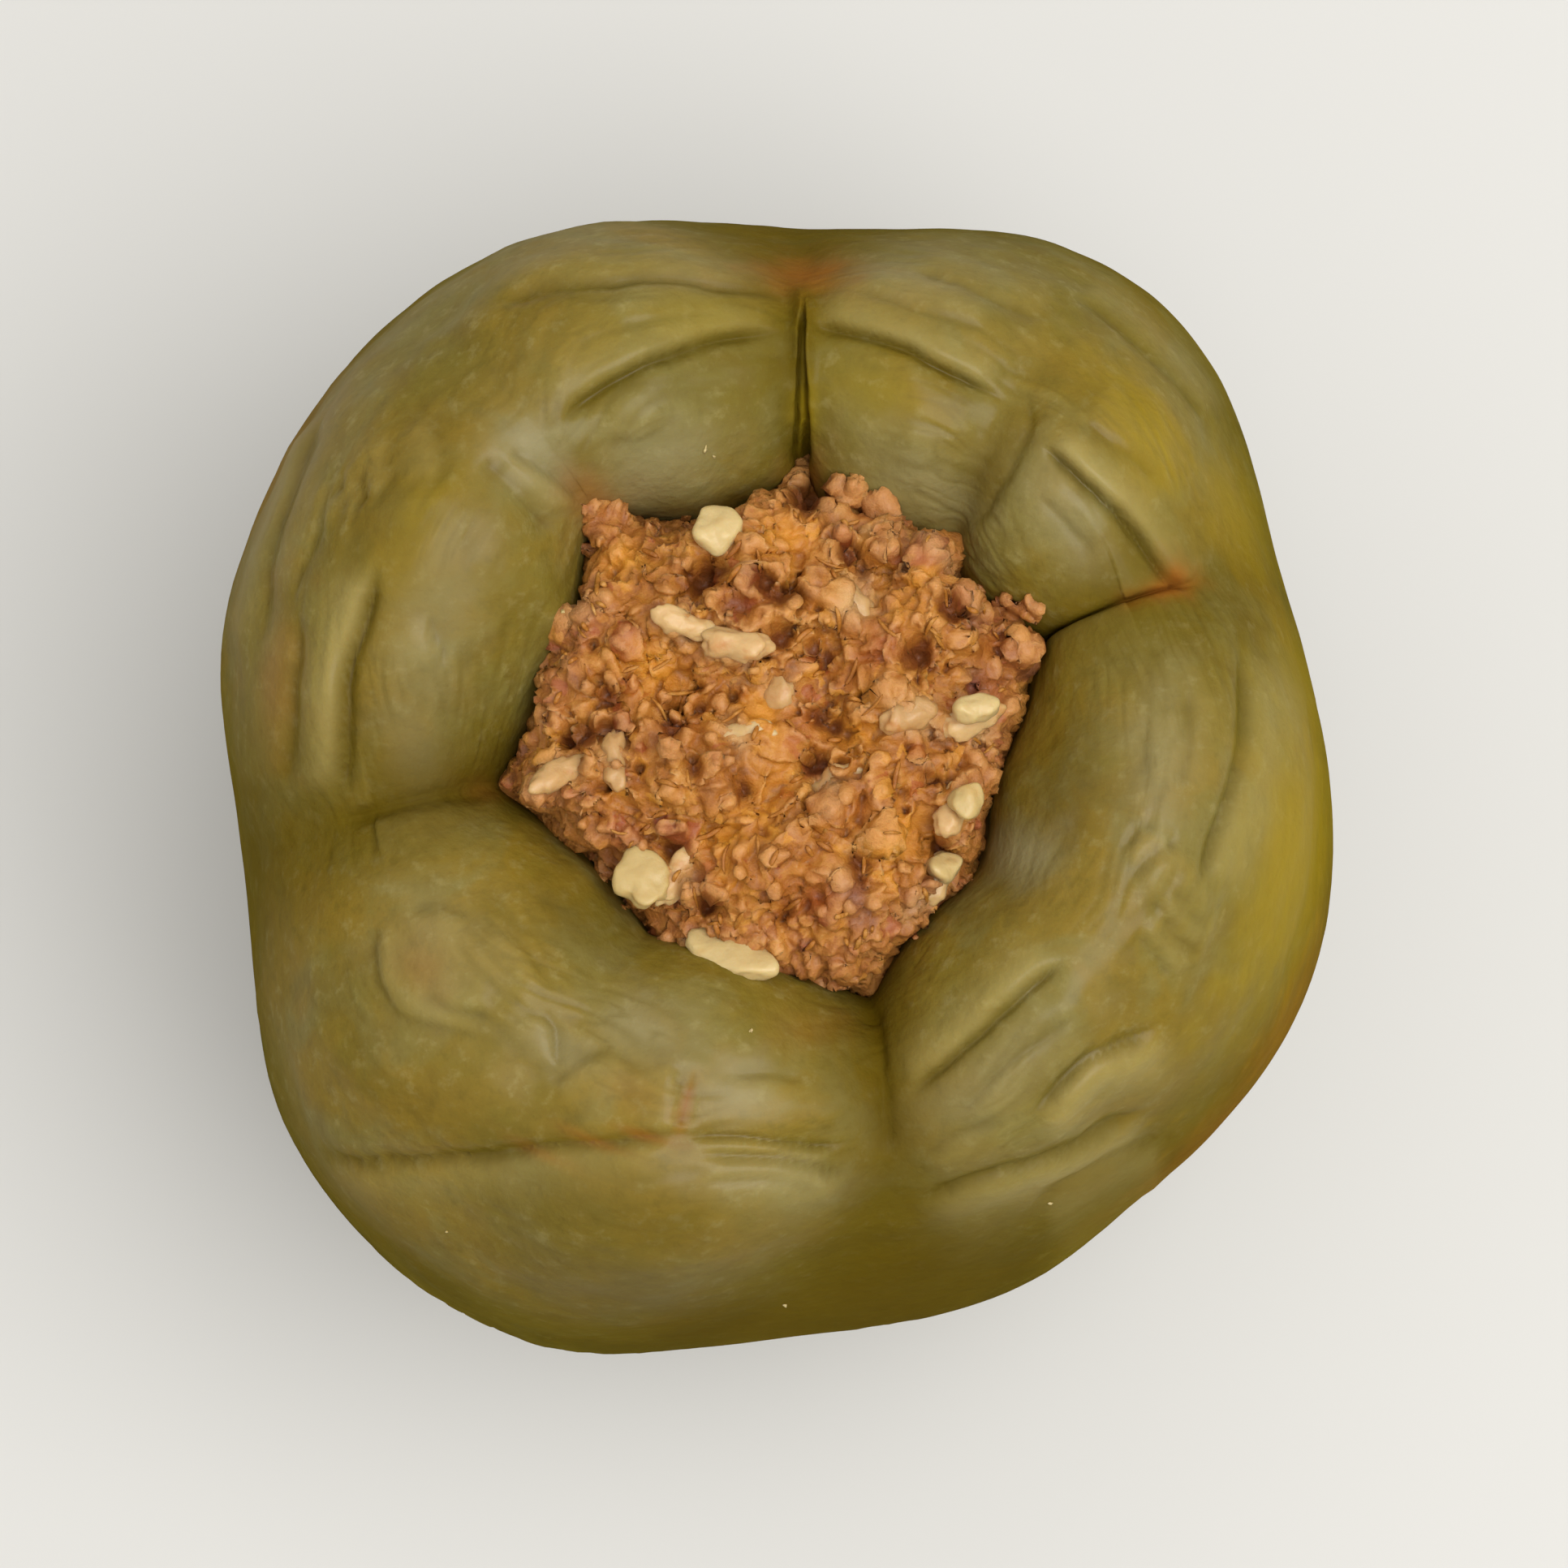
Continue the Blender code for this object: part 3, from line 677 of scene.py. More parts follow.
def ring_wrinkles(rows, share):
    """How deep the wrinkles round the opening are, and how far each point is in one, which the material
    paints as shade.
    """
    _, angle = round_axis(rows)
    up = np.linalg.norm(np.diff(rows, axis=0), axis=-1).mean(axis=1)
    height = np.concatenate([[0], np.cumsum(up)])[:, None] + np.zeros_like(angle)
    waver_size, waver_reach = RING_WAVER
    waver = waver_reach * noise_at(rows, waver_size)
    stretched = np.dstack([in_the_plane(angle, RING_REACH), height + waver])
    where = wrinkled_places(rows, RING_WRINKLES, share[:, None])
    depth, lines = np.zeros_like(angle), np.zeros_like(angle)
    for size, deep in RING_KINDS:
        line = (1 - ease(0, RING_WRINKLES.line, np.abs(noise_at(stretched, size)))) * where
        depth += deep * line
        lines = np.maximum(lines, line)
    return depth, lines


def pinched(rows):
    """Skin with its tightest grooves drawn together."""
    for pinch in PINCHES:
        (first_angle, near), (last_angle, far) = pinch.start, pinch.end
        radius, angle = round_axis(rows)
        line = first_angle + (last_angle - first_angle) * (radius - near) / (far - near)
        off = degrees_apart(angle, line)
        across = np.abs(np.radians(off)) * radius
        where = ease(*pinch.comes_in, radius) * ease(*pinch.fades[::-1], radius)
        where *= rows[..., 2] > FOLDS_FROM
        share_left = 1 - (1 - pinch.width_left) * where * ease(pinch.reach, 0, across)
        height = rows[..., 2] + pinch.raised * where * np.exp(-((across / RAISED_HALF_WIDTH) ** 2))
        rows = at_turn(np.radians(angle - off * (1 - share_left)), radius, height)
    return rows


def make_skin():
    rows_at, shares = zip(*SKIN_ROWS_BY_SHARE)
    share = np.interp(np.arange(rows_at[-1] + 1), rows_at, shares)
    rows, height = lobed_surface(LOBE_SKIN, GROOVE_SKIN, share, SKIN_PER_SECTOR)
    away_from_ends = faded(FOOT_FADE, share)[:, None]
    inward = FOLD_SHARE * fold_depths(rows) + DENT_DEPTH * noise_at(rows, DENT_SIZE) * away_from_ends
    relief, lines, ridge_highlights = crease_relief(rows)
    wrinkled, wrinkles = ring_wrinkles(rows, share)
    relief -= side_wrinkles(rows) + wrinkled
    on_shoulder = SMOOTH_SIDES + (1 - SMOOTH_SIDES) * ease(*SMOOTH_BELOW, rows[..., 2])
    for size, tall in SWELL_RELIEF:
        relief += tall * noise_at(rows, size, octaves=2) * away_from_ends * on_shoulder
    rows = pinched(rows + outward_normals(rows) * (relief - inward)[..., None])
    rows[..., 2] = np.maximum(rows[..., 2], 0)
    cavity, _ = lobed_surface(LOBE_CAVITY, GROOVE_CAVITY, np.linspace(1, 0, CAVITY_ROWS), SKIN_PER_SECTOR)
    inside = np.zeros(cavity.shape[:2])
    # Besides groove depth and height, these masks carry painted shade in creases and wrinkles, a painted
    # highlight on crease ridges, a painted sheen, the yellower tone with a painted glow, sauce that is
    # partly a painted highlight, and painted shade on slopes and hollows.
    shown = {
        "groove": 1 - height, "height": rows[..., 2], "crease": lines, "ridge": ridge_highlights, "wrinkle": wrinkles,
        "haze": patches_over(rows, SHEEN_PATCHES), "yellow": patches_over(rows, YELLOW_TONE_AND_GLOW),
        "sauce": patches_over(rows, SAUCE_AND_HIGHLIGHT), "deep": patches_over(rows, SHADE_PATCHES),
    }
    masks = {name: [*values, *inside] for name, values in shown.items()}
    masks["flesh"] = [*np.zeros_like(height), *(inside + 1)]
    piece = surface_piece("pepper_skin", [*rows, *cavity], masks=masks)
    return piece, rows


# ---------------- the filling

FILLING_GAP = 0.6  # between the filling and the flesh, below the cut edge
LIP_OVERLAP = 0.35  # the mince presses against the lip, so that no gap shows
HEAP_ROWS = 48
HEAP_DEPTH = 4.5  # thickness of the crumbly top layer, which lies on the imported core
CORE_DROP = 3.9  # the core's top lies this far under the solid's, below the deepest pit
# Where the heap's edge draws back from the lip: angle, half-width in degrees, and how far.
DRAWN_BACK = (
    (104, 14, 1.4), (84.5, 6, 2.6), (221, 9, 2.0), (202, 7, 1.2), (288, 6, 1.6), (10, 9, 0.9),
    (176, 9, 0.7), (37, 5, 1.0), (145, 6, 0.8), (-30, 10, 0.6),
)


def inset(outline, gap):
    """A cavity outline moved in by gap; its first point stays on the axis."""
    points = np.array(outline, float)
    run = np.gradient(points, axis=0)
    run /= np.linalg.norm(run, axis=1, keepdims=True)
    inner = points + gap * np.stack([-run[:, 1], run[:, 0]], axis=1)
    inner[0, 0] = 0
    return inner


def heap_rows(cut_edge):
    """The rim of the filling at the cut edge, and the rows of its heap from there to the middle."""
    spoke = cut_edge[:, :2] - (AXIS_X, AXIS_Y)
    neck = np.linalg.norm(spoke, axis=-1) + LIP_OVERLAP
    crowded = np.unwrap(np.arctan2(spoke[:, 1], spoke[:, 0]))
    even = crowded[0] + np.arange(len(crowded)) * math.tau / len(crowded)

    drawn_back = np.zeros_like(neck)
    for angle, half_width, far in DRAWN_BACK:
        drawn_back += far * np.exp(-((degrees_apart(np.degrees(crowded), angle) / half_width) ** 2))

    def ring(share, height, edge):
        outer = share**HEAP_ROUNDING
        reach = share * (edge.mean() + (edge - edge.mean()) * outer)
        return at_turn(even + (crowded - even) * outer, reach, height)

    knots = np.array(HEAP[::-1])
    rows = []
    for share in np.linspace(HEAP[0][0], 0, HEAP_ROWS):
        height = np.full_like(neck, np.interp(share, knots[:, 0], knots[:, 1]))
        row = ring(share, height, neck - drawn_back)
        row[:, 2] += LUMP_HEIGHT * noise_at(row, LUMP_SIZE)
        rows.append(row)
    return ring(1, cut_edge[:, 2] - FILLING_GAP, neck), np.array(rows)


def make_core(rim, heap):
    """The filling as it is packed inside the pepper, up to just under its crumbly top."""
    outlines = inset(LOBE_CAVITY, FILLING_GAP), inset(GROOVE_CAVITY, FILLING_GAP)
    packed, _ = lobed_surface(*outlines, np.linspace(0, 1, CAVITY_ROWS), SKIN_PER_SECTOR)
    packed[-1, :, 2] -= FILLING_GAP
    return surface_piece("filling_core", [*packed, rim, *(heap - (0, 0, CORE_DROP))])


# ---------------- crumbs, shreds, rice, seeds

# How many, their smallest and largest radius, and how far the middle stands off what they lie on, in radii.
CRUMB_KINDS = ((60, 1.1, 1.9, -0.1), (170, 0.6, 1.2, 0.1), (60, 0.32, 0.58, 0.4))
CRUMBS_INSIDE = 0.9  # how far inside the heap's edge they stay, in their largest radii
EDGE_CRUMBS = (110, 0.4, 1.0, 0.1)
EDGE_BAND = (-1.8, 0.1)  # how far edge crumbs' middles lie outside the heap's own edge
# Knots of mince that lie over the lip: angle, distance and half-width.
CLUMPS = (
    (132, 16.2, 1.2), (130.5, 17.1, 0.9), (129.5, 17.9, 0.8), (131, 18.6, 0.5), (74, 16.0, 1.0),
    (66, 15.8, 1.1), (58, 15.4, 0.9), (27, 17.2, 0.9), (25, 18.4, 0.5), (17, 17.0, 0.9), (-170, 17.0, 0.9),
    (-164, 15.6, 1.0), (-75, 17.0, 0.8), (-88, 15.9, 0.9), (-119, 15.8, 0.7), (-52, 15.2, 0.8),
    (155, 15.4, 0.6), (166, 15.6, 0.7), (-141, 15.0, 0.7),
)
CLUMP_CRUMBS, CLUMP_KIND = 14, (0.4, 0.95, 0.2)  # how many in each, and what they are like
CRUMB_SQUASH = (0.35, 0.8)  # of its length, across both ways
CRUMB_SHAPE = ((1.3, 0.6), (3.0, 0.4))  # noise that dents a crumb of radius 1: how close, how deep
CRUMB_SUBDIVISIONS, GRAIN_SUBDIVISIONS = 2, 4
NOISE_REACH = 90  # crumbs take their shapes from noise this far around
LAYER_TONE = 0.5  # the tone of the mince between crumbs
KNEAD_VOXEL = 0.235  # crumbs and layer are merged on a grid of this size
SOFTENING, SOFTENING_STEPS = 0.5, 2  # of the merged mince
RELIEF_SHOWS = (-0.5, 0.2)  # finer relief comes in as the surface turns up, by its normal's Z
BILLOWS = ((3.6, 0.9), (1.7, 0.25))  # size and height of the soft knobs on the mince
BILLOWS_DOWN = 0.5  # of their height, so that they don't swell the mince
# Fine fibres in the mince: width, length, height, how thin, and the size of the areas they run one way in.
FINE_WIDTH, FINE_LENGTH, FINE_HEIGHT, FINE_THIN, FINE_AREA = 1.3, 6.0, 0.5, 0.26, 3.4
FINE_HEADINGS = (15, 60, 105, 150)  # degrees
PORES, PORE_RADIUS, PORE_DEPTH = 34, (0.24, 0.5), (0.5, 1.2)
PORE_RAGGED = (0.7, 0.6)
PORES_WITHIN = 0.94  # of the way to the edge
HOLLOW_STEPS, HOLLOW_FULL = 60, 0.8  # how far a hollow is looked for, and the depth that counts as full
FIBRES, EDGE_FIBRES = 420, 120
FIBRE_LENGTH, FIBRE_RADIUS = (1.6, 4.2), (0.24, 0.42)
SHREDS, EDGE_SHREDS = 60, 40
SHRED_LENGTH, SHRED_RADIUS = (1.0, 2.6), (0.1, 0.2)
STRAND_RINGS, STRAND_SIDES, STRAND_FLATNESS, STRAND_TONE = 8, 6, 0.6, (0.4, 1.0)
STRAND_BEND, STRAND_LIFT = 0.6, (0.1, 0.6)  # quarter turns it may curve by; how high its middle stands
STRAND_SHIFT = 1.2  # how much nearer the middle strands begin than an even spread would have them
STRAND_TAPER = (0.03, 0.97)  # the part of a sine's half wave that its thickness follows
# Strands across the edge: how far inside it they begin, how far they turn from straight out, and their
# length against that of the others.
EDGE_STRAND_INSIDE, EDGE_STRAND_TURN, EDGE_STRAND_SHARE = (0.6, 1.8), 70, 0.6
HUE_SPREAD = 41.7  # makes a crumb's hue from its tone, so that neighbours differ in both
PLAIN_HUE = 0.5  # the shreds' hue, neither red nor yellow
PITS = patches(  # the gaps between lumps of mince
    (117, 10.3, 1.1, 0.8, 1.0), (95, 8.8, 0.8, 0.6, 1.0), (87, 8.0, 0.9, 0.6, 1.0),
    (108, 7.6, 0.9, 0.8, 0.6), (67, 12.0, 0.6, 0.7, 1.0), (86, 5.0, 0.6, 0.6, 0.9),
    (60, 5.0, 0.6, 0.5, 0.7), (50, 5.2, 0.6, 0.5, 0.6), (23, 10.1, 0.8, 1.0, 1.0),
    (31, 13.6, 0.9, 0.5, 1.0), (3, 3.0, 0.6, 0.7, 0.8), (-8, 3.9, 0.6, 0.6, 0.7), (-52, 4.0, 0.6, 0.7, 1.0),
    (-175, 12.9, 0.7, 1.0, 1.0), (-176, 10.7, 0.6, 1.2, 0.8), (-175, 6.9, 0.7, 0.7, 0.8),
    (173, 11.2, 0.7, 0.7, 0.7), (-110, 13.2, 0.5, 0.5, 0.9), (83, 15.4, 1.0, 1.2, 1.0),
    (60, 11.5, 0.6, 0.5, 0.5), (80, 7.5, 0.5, 0.7, 0.5), (-38, 5.2, 0.4, 0.4, 0.5),
    (-23, 11.4, 0.5, 0.6, 0.6), (-38, 13.5, 0.6, 0.6, 0.6), (-31, 9.2, 0.4, 0.7, 0.4),
    (-61, 11.3, 0.6, 1.1, 0.7), (176, 5.2, 0.8, 0.5, 0.5), (-145, 6.6, 0.6, 0.6, 0.6),
    (-113, 5.4, 0.6, 0.6, 0.5), (-154, 9.7, 0.6, 0.5, 0.3), (-128, 10.9, 0.9, 0.7, 0.7),
    (-166, 13.8, 0.9, 0.5, 0.6),
)
# The filling's cooler, drier margin comes in over this way to its edge, with this waver.
MARGIN, MARGIN_WAVER = (3.0, 0.4), (2.0, 0.8)
PIT_DEPTH, PIT_SPREAD, PIT_RAGGED = 2.2, 1.35, (1.1, 0.8)  # how deep, and times as wide as in PITS
GOLDEN = patches(  # and the mince's other tints
    (158, 8.7, 1.6, 1.8, 1.0), (-174, 0.8, 1.6, 1.6, 1.0), (-111, 9.2, 1.2, 2.2, 1.0),
    (-47, 11.3, 1.6, 1.6, 0.9), (134, 15.2, 1.2, 1.6, 0.8), (87, 12.4, 1.4, 1.8, 0.9),
    (-10, 5.3, 1.6, 1.6, 0.7), (43, 13.2, 1.0, 1.4, 0.7), (-88, 4.5, 2.0, 2.0, 0.4),
)
RUSTY = patches(
    (32, 7.7, 1.4, 2.2, 1.0), (-78, 12.7, 2.2, 1.6, 1.0), (9, 14.3, 1.4, 1.2, 1.0),
    (19, 15.8, 1.2, 1.2, 0.7), (152, 14.1, 1.4, 1.0, 0.7), (0, 1.6, 1.4, 1.4, 0.8),
    (-143, 12.9, 1.2, 1.2, 0.9), (108, 7.6, 1.6, 1.2, 0.7), (-114, 11.5, 0.8, 1.6, 0.8),
    (-172, 6.0, 1.4, 2.4, 0.5), (-48, 9.0, 1.2, 1.6, 0.4),
)
PALE = patches(
    (137, 8.2, 0.9, 1.2, 1.0), (128, 6.0, 1.0, 1.4, 1.0), (114, 4.6, 0.9, 1.0, 0.8),
    (55, 9.2, 1.2, 1.3, 1.0), (88, 1.9, 1.0, 0.9, 0.6), (-152, 2.8, 1.2, 0.8, 0.9),
    (-1, 9.2, 1.2, 1.6, 1.0), (-3, 13.1, 1.0, 1.2, 1.0), (-165, 14.9, 1.0, 1.4, 0.9),
    (-165, 11.2, 1.0, 1.0, 0.6), (-120, 12.2, 1.0, 1.0, 0.6), (-53, 5.5, 1.1, 0.8, 0.7),
    (-52, 15.5, 1.8, 0.6, 0.7), (46, 15.4, 2.2, 0.6, 0.6), (151, 15.2, 0.8, 1.0, 0.6),
)
PLUM = patches(
    (-67, 13.2, 0.9, 1.4, 1.0), (12, 13.4, 1.0, 0.8, 0.8), (27, 14.8, 1.0, 0.8, 0.8),
    (58, 10.9, 0.8, 0.8, 0.5), (120, 4.2, 0.8, 0.8, 0.3),
)
MINCE_RAGGED = (1.3, 0.9)  # as in PATCH_RAGGED
RICE_LENGTH, RICE_WIDTH, RICE_SUNK, RICE_TILT = (3.6, 5.0), (1.9, 2.5), 0.5, 14
RICE_BEND, RICE_BURST, RICE_WAIST = 0.5, (0.1, 0.3), 0.35  # a burst grain narrows at its waist
RICE_FLATNESS = 2.6  # a grain's width over its half-height
# Where rice shows: angle, distance from the axis, and the way each grain points, in degrees.
RICE = (
    (137, 8.0, -25), (121, 5.2, -10), (55, 9.2, -55), (-1, 9.2, 10), (-3, 12.9, 25), (-53, 5.5, 35),
    (-44, 14.6, 60), (-152, 2.8, 5), (-165, 14.4, 30), (88, 1.9, 75), (-165, 11.2, 95), (-120, 12.2, 60),
    (-27, 13.2, 70),
)
# Pepper seeds, whole or broken: angle, distance, the way each points, length and width.
SEEDS = (
    (-129.5, 13.7, 100, 4.3, 3.7), (-100.2, 15.6, -32, 5.9, 4.0), (107.3, 12.9, 20, 3.4, 3.1),
    (-24.5, 13.8, 60, 2.6, 2.2), (1.5, 13.2, 10, 3.0, 2.0), (-41.3, 14.8, 30, 2.5, 2.0),
)
SEED_THICKNESS, SEED_RAISED, SEED_TILT = 2.5, 1.15, 12
SEED_NARROWING = (0.22, 0.12)  # towards one end, and towards both
SEED_RIM = (0.72, 0.5, 6)  # its thickness in the middle, how much more at the rim, and how close to it
SEED_DISH = 0.25  # how far its ends turn up
LEVELLING = 1.5  # how much more level than the mince below it a grain lies
SEED_KNOBS = ((1.6, 0.3), (0.7, 0.12))  # size and depth
RICE_KNOBS = ((1.1, 0.25), (0.5, 0.15))
# Pale specks of spice on the skin: angle and distance.
SPECKS = (
    (-94.4, 20.9), (-123.3, 40.2), (-89.8, 38.2), (103.2, 18.1), (104.6, 18.6), (153, 15.9), (-60, 36.4),
)
SPECK_RADIUS = (0.16, 0.3)


def edge_at(edge, angle):
    """An edge's distance from the axis at an angle, or at each of many."""
    radius, angles = round_axis(edge)
    order = np.argsort(angles)
    return np.interp((angle + 180) % 360 - 180, angles[order], radius[order])


def at_polar(angle, distance):
    """The x and y of the place at this angle and distance from the axis."""
    x, y = in_the_plane(angle, distance)
    return AXIS_X + float(x), AXIS_Y + float(y)


def dented(points, chance):
    """A ball's points pushed in and out into the shape of a crumb of mince."""
    offset = Vector([chance.uniform(-NOISE_REACH, NOISE_REACH) for _ in range(3)])
    squash = np.array([1, chance.uniform(*CRUMB_SQUASH), chance.uniform(*CRUMB_SQUASH)])
    reach = np.ones(len(points))
    for close, deep in CRUMB_SHAPE:
        reach += deep * np.array([noise.noise(Vector(point) * close + offset) for point in points])
    return points * reach[:, None] * squash


def tumbled(chance):
    """A turn into any position."""
    return Euler([chance.uniform(0, math.tau) for _ in range(3)])


def scatter_crumbs(crumbs, ground, edge, chance):
    """Crumbs of mince over the filling, along its edge, and in the clumps on the lip."""
    points, faces = ball(CRUMB_SUBDIVISIONS)

    def drop(x, y, smallest, largest, lift):
        radius = chance.uniform(smallest, largest)
        place, normal = ground.under(x, y)
        middle = place + normal * radius * lift
        crumbs.add(turned(dented(points, chance) * radius, tumbled(chance), middle), faces, chance.random())

    for number, *kind in CRUMB_KINDS:
        for _ in range(number):
            angle = chance.uniform(-180, 180)
            distance = (edge_at(edge, angle) - kind[1] * CRUMBS_INSIDE) * math.sqrt(chance.random())
            drop(*at_polar(angle, distance), *kind)
    number, *kind = EDGE_CRUMBS
    for k in range(number):
        angle = 360 * (k + chance.random()) / number
        drop(*at_polar(angle, edge_at(edge, angle) + chance.uniform(*EDGE_BAND)), *kind)
    for angle, distance, half_width in CLUMPS:
        x, y = at_polar(angle, distance)
        for _ in range(CLUMP_CRUMBS):
            drop(chance.gauss(x, half_width / 2), chance.gauss(y, half_width / 2), *CLUMP_KIND)


def strand(spine, radii):
    """A tube through points, pointed at both ends."""
    spine = np.array(spine)
    run = np.gradient(spine, axis=0)
    run /= np.linalg.norm(run, axis=1, keepdims=True)
    across = np.cross(run, (0, 0, 1))
    across /= np.linalg.norm(across, axis=1, keepdims=True) + 1e-9
    over = np.cross(across, run)
    turn = np.arange(STRAND_SIDES) * math.tau / STRAND_SIDES
    rings = (
        spine[:, None]
        + (radii[:, None] * np.cos(turn))[..., None] * across[:, None]
        + (radii[:, None] * np.sin(turn))[..., None] * over[:, None] * STRAND_FLATNESS
    )
    return closed([spine[:1], *rings[1:-1], spine[-1:]])


def scatter_strands(strands, ground, edge, chance, numbers, lengths, radii):
    """Fibres lying over the filling, and shorter ones across its edge."""
    inner, at_edge = numbers
    for k in range(inner + at_edge):
        angle = chance.uniform(-180, 180)
        neck = edge_at(edge, angle)
        length, radius = chance.uniform(*lengths), chance.uniform(*radii)
        if k < inner:
            distance, heading = neck * math.sqrt(chance.random()) - STRAND_SHIFT, chance.uniform(0, 360)
        else:
            distance = neck - chance.uniform(*EDGE_STRAND_INSIDE)
            heading = angle + chance.uniform(-EDGE_STRAND_TURN, EDGE_STRAND_TURN)
            length *= EDGE_STRAND_SHARE
        bend, lift = chance.uniform(-STRAND_BEND, STRAND_BEND), chance.uniform(*STRAND_LIFT)
        x, y = at_polar(angle, max(distance, 0))
        spine = []
        for share in np.linspace(0, 1, STRAND_RINGS):
            place, _ = ground.under(x, y)
            spine.append((x, y, place.z + lift * math.sin(math.pi * share)))
            turn = math.radians(heading + 90 * bend * share)
            x += math.cos(turn) * length / STRAND_RINGS
            y += math.sin(turn) * length / STRAND_RINGS
        taper = radius * np.sqrt(np.sin(math.pi * np.linspace(*STRAND_TAPER, STRAND_RINGS)))
        strands.add(*strand(smoothed(spine), taper), chance.uniform(*STRAND_TONE))


def smoothed(spine):
    """A spine whose heights are evened out, so that a strand bridges small hollows."""
    points = np.array(spine)
    padded = np.concatenate([points[:1, 2], points[:, 2], points[-1:, 2]])
    points[:, 2] = (padded[:-2] + 2 * padded[1:-1] + padded[2:]) / 4
    return points


def kneaded(joined):
    """One skin round everything in a joined mesh: points in millimetres, faces, edges and normals."""
    rough = joined.piece("rough")
    remesh = rough.modifiers.new("merge", "REMESH")
    remesh.mode = "VOXEL"
    remesh.voxel_size = KNEAD_VOXEL * METRE
    soften = rough.modifiers.new("soften", "SMOOTH")
    soften.factor, soften.iterations = SOFTENING, SOFTENING_STEPS
    mesh = bpy.data.meshes.new_from_object(rough.evaluated_get(bpy.context.evaluated_depsgraph_get()))
    bpy.data.objects.remove(rough)
    points = np.array([v.co for v in mesh.vertices]) / METRE
    faces = [list(f.vertices) for f in mesh.polygons]
    edges = np.array([e.vertices for e in mesh.edges])
    normals = np.array([v.normal for v in mesh.vertices])
    bpy.data.meshes.remove(mesh)
    return points, faces, edges, normals


def evened(values, edges, steps):
    """Values on a mesh's points, each averaged with its neighbours so many times."""
    count = len(values)
    ends = np.concatenate([edges[:, 0], edges[:, 1]])
    others = np.concatenate([edges[:, 1], edges[:, 0]])
    degree = np.bincount(ends, minlength=count)
    for _ in range(steps):
        values = (values + np.bincount(ends, values[others], minlength=count) / degree) / 2
    return values


def fibrous(points):
    """The height of fine fibres, which run one way in one area and another way in the next."""
    height, strongest = np.zeros(len(points)), np.full(len(points), -np.inf)
    for heading in FINE_HEADINGS:
        turn = math.radians(heading)
        along = points[:, 0] * math.cos(turn) + points[:, 1] * math.sin(turn)
        across = points[:, 1] * math.cos(turn) - points[:, 0] * math.sin(turn)
        drawn = np.stack([along / FINE_LENGTH, across / FINE_WIDTH, points[:, 2] / FINE_WIDTH], axis=-1)
        ridge = 1 - ease(0, FINE_THIN, np.abs(noise_at(drawn, 1.0)))
        here = noise_at(points + heading, FINE_AREA)
        height = np.where(here > strongest, ridge, height)
        strongest = np.maximum(here, strongest)
    return FINE_HEIGHT * height


def make_heap(rim, heap, ground, chance):
    """The crumbly top of the filling: crumbs and fibres kneaded together, with gaps between them."""
    dough = Joined()
    layer = [heap[-1] - (0, 0, HEAP_DEPTH), *(heap[::-1][1:] - (0, 0, HEAP_DEPTH)), rim, *heap]
    base = surface_piece("layer", layer)
    corners = np.array([v.co for v in base.data.vertices]) / METRE
    dough.add(corners, [f.vertices for f in base.data.polygons], LAYER_TONE)
    bpy.data.objects.remove(base)
    edge = heap[0]
    scatter_crumbs(dough, ground, edge, chance)
    scatter_strands(dough, ground, edge, chance, (FIBRES, EDGE_FIBRES), FIBRE_LENGTH, FIBRE_RADIUS)
    tones = KDTree(dough.count)
    all_points, all_tones = np.vstack(dough.points), np.concatenate(dough.tones)
    for k, point in enumerate(all_points):
        tones.insert(point, k)
    tones.balance()
    points, faces, edges, normals = kneaded(dough)
    tone = np.array([all_tones[tones.find(point)[1]] for point in points])
    shows = ease(*RELIEF_SHOWS, normals[:, 2])
    for size, tall in BILLOWS:
        billow = tall * (2 * np.abs(noise_at(points, size)) - BILLOWS_DOWN)
        points = points + normals * (billow * shows)[:, None]
    points = points + normals * (fibrous(points) * shows)[:, None]
    wide_pits = [p._replace(across=p.across * PIT_SPREAD, along=p.along * PIT_SPREAD) for p in PITS]
    pits = patches_over(points, wide_pits, PIT_RAGGED)
    sinking = PIT_DEPTH * pits
    ragged_size, ragged = PORE_RAGGED
    uneven = 1 + ragged * noise_at(points, ragged_size)
    for _ in range(PORES):
        angle = chance.uniform(-180, 180)
        x, y = at_polar(angle, edge_at(edge, angle) * math.sqrt(chance.random()) * PORES_WITHIN)
        radius, depth = chance.uniform(*PORE_RADIUS), chance.uniform(*PORE_DEPTH)
        gap = np.hypot(points[:, 0] - x, points[:, 1] - y) * uneven / radius
        sinking += depth * np.exp(-(gap**4))
    points[:, 2] -= sinking
    hollow = np.clip((evened(points[:, 2], edges, HOLLOW_STEPS) - points[:, 2]) / HOLLOW_FULL, -1, 1)
    radius, angle = round_axis(points)
    waver_size, waver_reach = MARGIN_WAVER
    inside = edge_at(edge, angle) - radius + waver_reach * noise_at(points, waver_size)
    # The pit and hollow masks carry painted shade, and the hollow's raised side a painted highlight.
    masks = {
        "tone": evened(tone, edges, steps=1), "hue": evened(tone * HUE_SPREAD % 1, edges, steps=1),
        "hollow": hollow, "pit": pits, "margin": ease(*MARGIN, inside),
    }
    for name, shapes in (("golden", GOLDEN), ("rusty", RUSTY), ("pale", PALE), ("plum", PLUM)):
        masks[name] = patches_over(points, shapes, MINCE_RAGGED)
    piece = piece_from("mince_heap", points * METRE, faces)
    for name, values in masks.items():
        add_mask(piece, name, values)
    return piece


